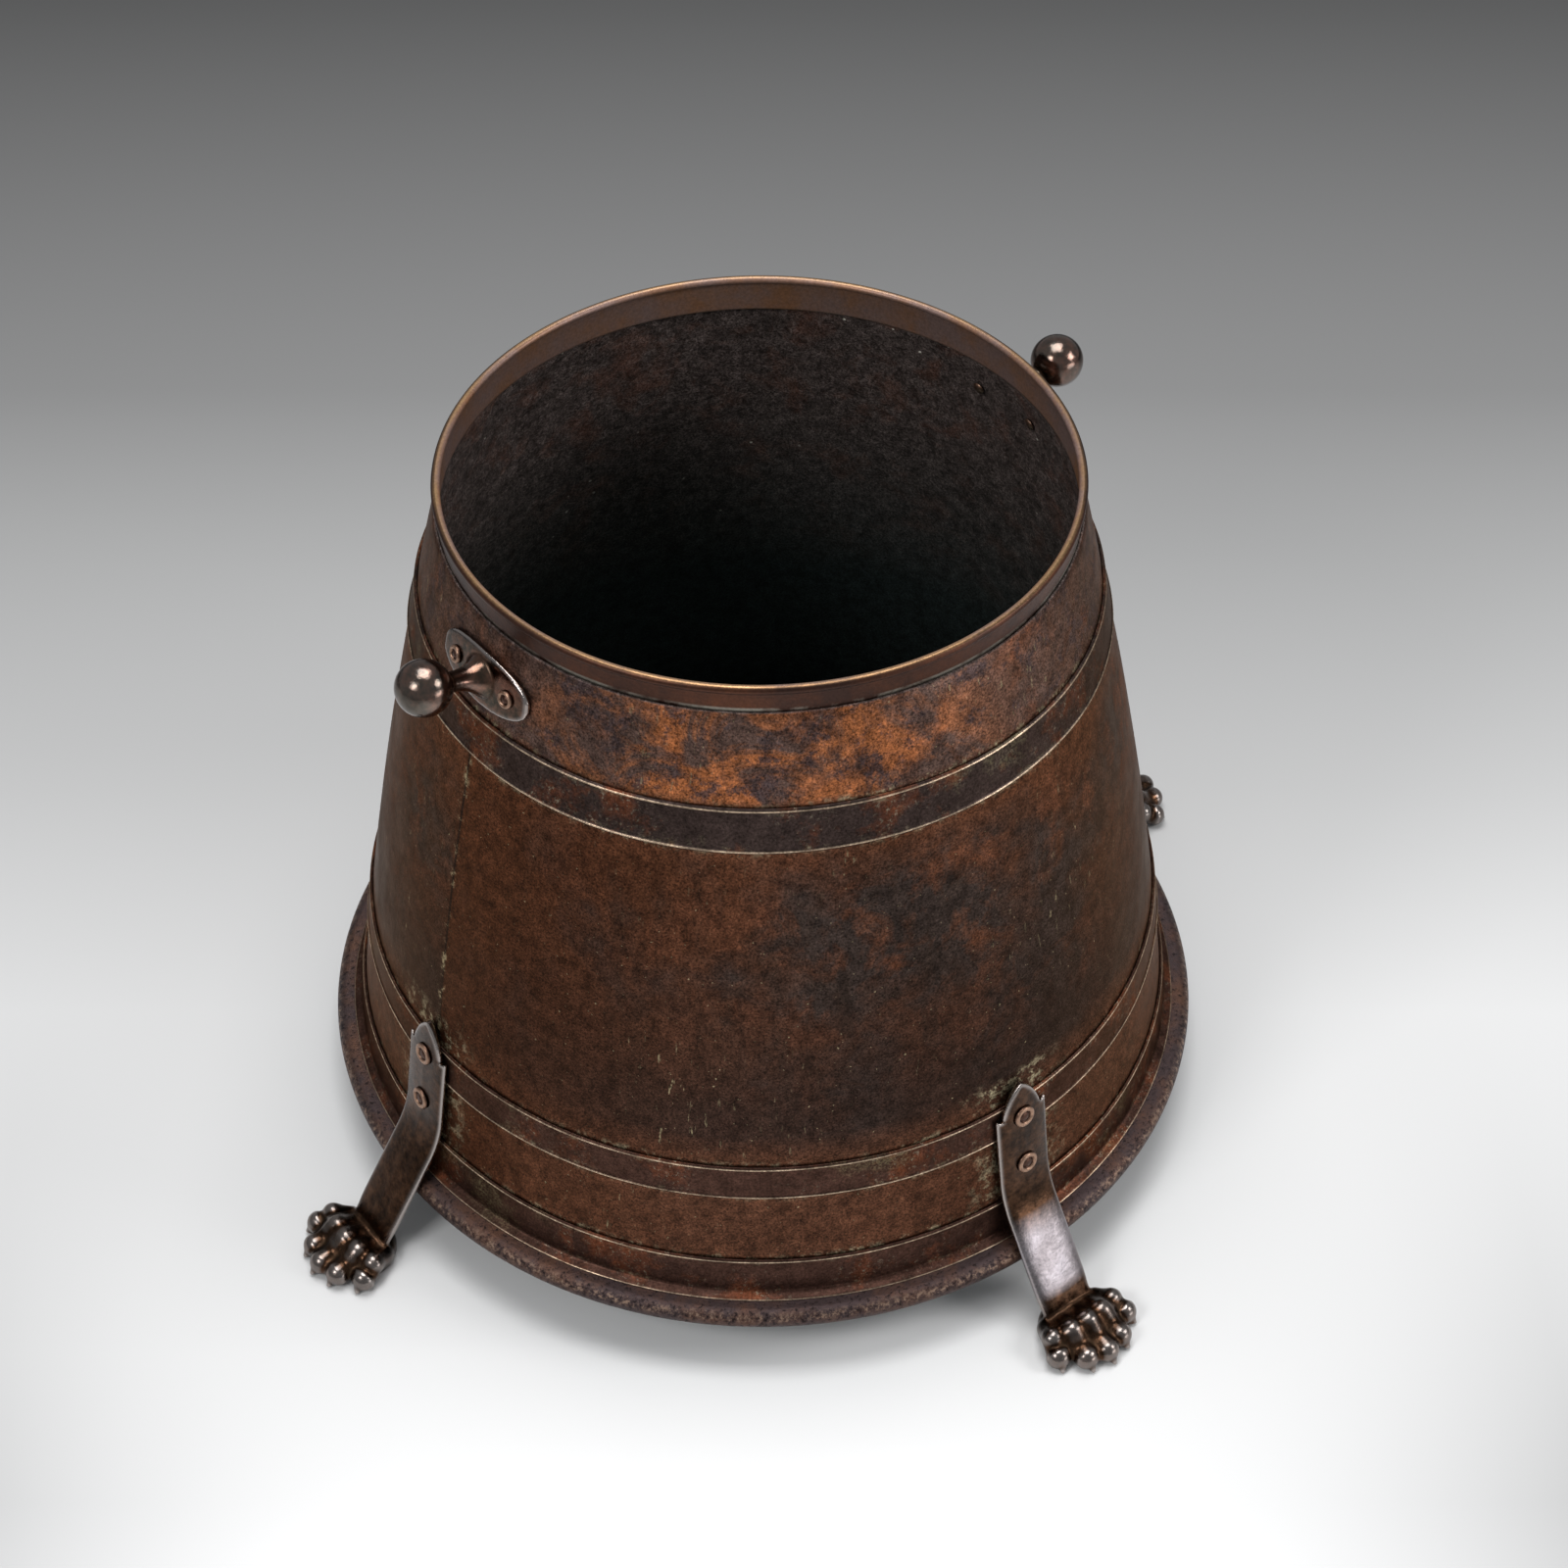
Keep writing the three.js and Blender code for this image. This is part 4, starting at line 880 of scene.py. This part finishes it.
metal = add(tree, "MapRange", {0: inside, 3: 0.9, 4: 0.45})
rough = add(tree, "Mix", {0: bright, 2: 0.42, 3: 0.26})
bump = add(tree, "Bump", {"Height": grain, "Strength": 0.3, "Distance": 0.0002})
shader = add(tree, "BsdfPrincipled", {"Base Color": tone, "Metallic": metal, "Roughness": rough,
                                      "Normal": bump})
dress([collar], collar_metal, shader)

# %% [markdown]
# ## Base ring, floor and wire
# The base ring scrapes over the hearth, so it is pitted, purple-brown, and chipped pale along its outer
# edge. The floor plate lies under soot and damp and went a dull green-black. The wire is bare iron.

# %% Pitted base ring
ring_metal, tree, place = new_material("pitted copper ring")
pits = add(tree, "TexNoise", {"Vector": place, "Scale": 380, "Detail": 5, "Roughness": 0.75})
clouds = add(tree, "TexNoise", {"Vector": place, "Scale": 30, "Detail": 5, "Roughness": 0.7})
warm = add(tree, "MapRange", {0: clouds, 1: 0.42, 2: 0.64})
pitted = add(tree, "MapRange", {0: pits, 1: 0.46, 2: 0.38})
crest = add(tree, "Attribute", out="Fac", attribute_name="crest")
chips = add(tree, "MapRange", {0: pits, 1: 0.50, 2: 0.60})
chips = add(tree, "Math", {0: chips, 1: crest}, operation="MULTIPLY")
tone = srgb("#433737")
for mask, code in ((warm, "#5c4236"), (pitted, "#221a1a"), (chips, "#8c7464")):
    tone = add(tree, "Mix", {0: mask, 6: tone, 7: srgb(code)}, out=2, data_type="RGBA")
rough = add(tree, "MapRange", {0: pits, 1: 0.3, 2: 0.7, 3: 0.62, 4: 0.36})
bump = add(tree, "Bump", {"Height": pits, "Strength": 0.7, "Distance": 0.0006})
shader = add(tree, "BsdfPrincipled", {"Base Color": tone, "Metallic": 0.85, "Roughness": rough,
                                      "Normal": bump})
dress([base_ring], ring_metal, shader)

# %% Sooty floor plate and iron wire
floor_metal, tree, place = new_material("sooty copper floor")
clouds = add(tree, "TexNoise", {"Vector": place, "Scale": 40, "Detail": 7, "Roughness": 0.75})
share = add(tree, "MapRange", {0: clouds, 1: 0.40, 2: 0.66})
tone = add(tree, "Mix", {0: share, 6: srgb("#5a6a68"), 7: srgb("#869691")}, out=2, data_type="RGBA")
bump = add(tree, "Bump", {"Height": clouds, "Strength": 0.5, "Distance": 0.001})
shader = add(tree, "BsdfPrincipled", {"Base Color": tone, "Metallic": 0.2, "Roughness": 0.8, "Normal": bump})
dress([floor_plate], floor_metal, shader)

wire_metal, tree, place = new_material("bare iron wire")
clouds = add(tree, "TexNoise", {"Vector": place, "Scale": 300, "Detail": 4, "Roughness": 0.7})
tone = add(tree, "Mix", {0: clouds, 6: srgb("#3a3634"), 7: srgb("#5a5552")}, out=2, data_type="RGBA")
shader = add(tree, "BsdfPrincipled", {"Base Color": tone, "Metallic": 1.0, "Roughness": 0.5})
dress([rim_wire], wire_metal, shader)

# %% [markdown]
# ## Cast bronze
# The legs and knobs were cast, filed and bronzed nearly black. On toes, knuckles and edges, wherever
# something rubs, the metal is painted pale: partly polished metal, partly a painted highlight; brown dirt
# stays in the folds. The proud mark drives both. The shin of the front leg, which stands towards -Y, is
# painted bright grey as a highlight. The metal is smooth, so its highlights are small.

# %% Bronze, painted pale where it stands proud: polish and painted highlight
bronze, tree, place = new_material("rubbed cast bronze")
height = add(tree, "SeparateXYZ", {0: place}, out="Z")
proud = add(tree, "Attribute", out="Fac", attribute_name="proud")
clouds = add(tree, "TexNoise", {"Vector": place, "Scale": 60, "Detail": 6, "Roughness": 0.7})
mottle = add(tree, "TexNoise", {"Vector": place, "Scale": 240, "Detail": 6, "Roughness": 0.75})
grain = add(tree, "TexNoise", {"Vector": place, "Scale": 600, "Detail": 4, "Roughness": 0.7})
share = add(tree, "MapRange", {0: clouds, 1: 0.40, 2: 0.62})
leg_tone = add(tree, "Mix", {0: share, 6: srgb("#33251c"), 7: srgb("#4a3426")}, out=2, data_type="RGBA")
knob_tone = add(tree, "Mix", {0: share, 6: srgb("#49433a"), 7: srgb("#6c4b3e")}, out=2, data_type="RGBA")
high = add(tree, "MapRange", {0: height, 1: 0.32, 2: 0.34})
tone = add(tree, "Mix", {0: high, 6: leg_tone, 7: knob_tone}, out=2, data_type="RGBA")
light = add(tree, "MapRange", {0: mottle, 1: 0.36, 2: 0.64, 3: 0.6, 4: 1.4})
tone = add(tree, "Mix", {0: 1.0, 6: tone, 7: light}, out=2, data_type="RGBA", blend_type="MULTIPLY")
folds = add(tree, "MapRange", {0: proud, 1: -0.10, 2: -0.7, 4: 0.8})
# painted highlight, in part: proud toes, knuckles and edges are painted pale grey over polished metal
rubbed_and_highlit = add(tree, "MapRange", {0: proud, 1: 0.08, 2: 0.75, 4: 0.85})
# painted highlight: the front leg's shin is painted bright grey where it mirrors the low box
ankle = add(tree, "MapRange", {0: height, 1: 0.019, 2: 0.024})
forward = add(tree, "SeparateXYZ", {0: place}, out="Y")
forward = add(tree, "MapRange", {0: forward, 1: -0.15, 2: -0.22})
uneven = add(tree, "MapRange", {0: clouds, 1: 0.36, 2: 0.60, 3: 0.55})
shin = add(tree, "MapRange", {0: height, 1: 0.060, 2: 0.048})
for mask in (ankle, forward, uneven):
    shin = add(tree, "Math", {0: shin, 1: mask}, operation="MULTIPLY")
for mask, code in ((folds, "#33271d"), (rubbed_and_highlit, "#a39b97"), (shin, "#8e888c")):
    tone = add(tree, "Mix", {0: mask, 6: tone, 7: srgb(code)}, out=2, data_type="RGBA")
rough = add(tree, "MapRange", {0: grain, 1: 0.3, 2: 0.7, 3: 0.18, 4: 0.28})
for mask, value in ((high, 0.15), (folds, 0.65)):
    rough = add(tree, "Mix", {0: mask, 2: rough, 3: value})
bump = add(tree, "Bump", {"Height": grain, "Strength": 0.25, "Distance": 0.0003})
bump = add(tree, "Bump", {"Height": clouds, "Strength": 0.25, "Distance": 0.001, "Normal": bump})
shader = add(tree, "BsdfPrincipled", {"Base Color": tone, "Metallic": 1.0, "Roughness": rough,
                                      "Normal": bump})
dress(legs + handles, bronze, shader)

# %% [markdown]
# ## Copper rivets
# The rivets' rings are softer copper, painted a pale pinkish brown on top: partly polished metal, partly a
# painted highlight. Dirt fills the groove round the dome.

# %% Copper rivets
rivet_metal, tree, place = new_material("rubbed copper rivets")
crest = add(tree, "Attribute", out="Fac", attribute_name="crest")
clouds = add(tree, "TexNoise", {"Vector": place, "Scale": 300, "Detail": 5, "Roughness": 0.7})
share = add(tree, "MapRange", {0: clouds, 1: 0.32, 2: 0.52, 3: 0.4})
# painted highlight, in part: the ring tops are painted pale over polished copper
bright = add(tree, "Math", {0: crest, 1: share}, operation="MULTIPLY")
tone = srgb("#3c2c26")
for mask, code in ((clouds, "#5c4034"), (bright, "#a5846f")):
    tone = add(tree, "Mix", {0: mask, 6: tone, 7: srgb(code)}, out=2, data_type="RGBA")
bump = add(tree, "Bump", {"Height": clouds, "Strength": 0.4, "Distance": 0.0003})
shader = add(tree, "BsdfPrincipled", {"Base Color": tone, "Metallic": 0.9, "Roughness": 0.36, "Normal": bump})
dress(rivets, rivet_metal, shader)

# %% [markdown]
# ## The studio
# The photograph has a pale floor that darkens evenly towards the back, so the floor's colour is graded
# along the camera's heading, and a little to both sides in front: the fall-off of the light is painted shade.
# Soft boxes hang above and to the sides.
# A low box in front on the right is what the front leg's shin mirrors: its face is bent so that it sends
# the camera's ray out level, to the right.

# %% Floor with painted shade
# The share of light that the floor gives back, at distances in metres behind the bucket's middle; the
# fall-off is painted shade
FLOOR_SHADE_STOPS = {-0.60: 0.88, -0.345: 0.88, -0.11: 0.70, 0.18: 0.47, 0.57: 0.22, 1.10: 0.098, 1.40: 0.08}
FLOOR_START, FLOOR_END = min(FLOOR_SHADE_STOPS), max(FLOOR_SHADE_STOPS)
FLOOR_HALF = 6.0  # half of the floor's width
CORNER_SHADE = 0.46  # painted shade: how much of its light the near floor has lost 0.4 m to the side
heading = np.radians(CAMERA_HEADING)
BACKWARDS = (float(np.cos(heading)), float(np.sin(heading)), 0.0)
TO_RIGHT = (BACKWARDS[1], -BACKWARDS[0], 0.0)

floor_sheet, tree, place = new_material("paper floor with painted falloff")
back = add(tree, "VectorMath", {0: place, 1: BACKWARDS}, out="Value", operation="DOT_PRODUCT")
share = add(tree, "MapRange", {0: back, 1: FLOOR_START, 2: FLOOR_END})
graded = add(tree, "ValToRGB", {0: share})
stops = graded.node.color_ramp.elements
for distance in list(FLOOR_SHADE_STOPS)[1:-1]:
    stops.new((distance - FLOOR_START) / (FLOOR_END - FLOOR_START))
for stop, light in zip(stops, FLOOR_SHADE_STOPS.values()):
    stop.color = (light, light, light, 1)
# painted shade: the near floor darkens to both sides
aside = add(tree, "VectorMath", {0: place, 1: TO_RIGHT}, out="Value", operation="DOT_PRODUCT")
aside = add(tree, "Math", {0: aside, 1: 2.0}, operation="POWER")
aside = add(tree, "MapRange", {0: aside, 2: 0.16, 4: CORNER_SHADE})
near = add(tree, "MapRange", {0: back, 1: 0.0, 2: -0.31})
vignette_shade = add(tree, "Math", {0: aside, 1: near}, operation="MULTIPLY")
vignette_shade = add(tree, "Math", {0: 1.0, 1: vignette_shade}, operation="SUBTRACT")
grey = add(tree, "Mix", {0: 1.0, 6: graded, 7: vignette_shade}, out=2, data_type="RGBA", blend_type="MULTIPLY")
shader = add(tree, "BsdfPrincipled", {"Base Color": grey, "Roughness": 0.9, "Specular IOR Level": 0.0})
add(tree, "OutputMaterial", {"Surface": shader})

floor = bpy.data.objects.new("floor", bpy.data.meshes.new("floor"))
floor_corners = [(FLOOR_HALF * x, FLOOR_HALF * y, 0) for x, y in ((-1, -1), (1, -1), (1, 1), (-1, 1))]
floor.data.from_pydata(floor_corners, [], [(0, 1, 2, 3)])
floor.data.materials.append(floor_sheet)
bpy.context.scene.collection.objects.link(floor)
print("floor graded over", FLOOR_END - FLOOR_START, "m")

# %% Soft boxes and the room's light
def soft_box(name, place, aim, width, depth, power):
    """A rectangular area light at a place, facing a point."""
    light = bpy.data.lights.new(name, "AREA")
    light.shape = "RECTANGLE"
    light.size = width
    light.size_y = depth
    light.energy = power
    box = bpy.data.objects.new(name, light)
    box.location = place
    away = np.subtract(aim, place) / np.linalg.norm(np.subtract(aim, place))
    box.rotation_euler = (float(np.arccos(-away[2])), 0, float(np.arctan2(-away[0], away[1])))
    bpy.context.scene.collection.objects.link(box)
    return box


lights = [
    soft_box("box above", (0.2, 0.26, 2.4), (0, 0, 0.1), 1.4, 1.4, 46),
    soft_box("box upper left", (-1.75, -0.26, 1.8), (0, 0, 0.25), 0.7, 0.7, 18),
    soft_box("box upper right", (1.2, -1.34, 1.33), (0, 0, 0.25), 0.7, 0.7, 14),
    soft_box("low box front right", (1.0, -2.3, 0.35), (0.1, -0.27, 0.05), 1.2, 0.6, 9),
]
world = bpy.data.worlds.new("studio")
world.use_nodes = True
world.node_tree.nodes["Background"].inputs["Color"].default_value = srgb("#9c9ea0")
bpy.context.scene.world = world
bpy.context.scene.view_settings.view_transform = "Standard"
print("lights:", len(lights))
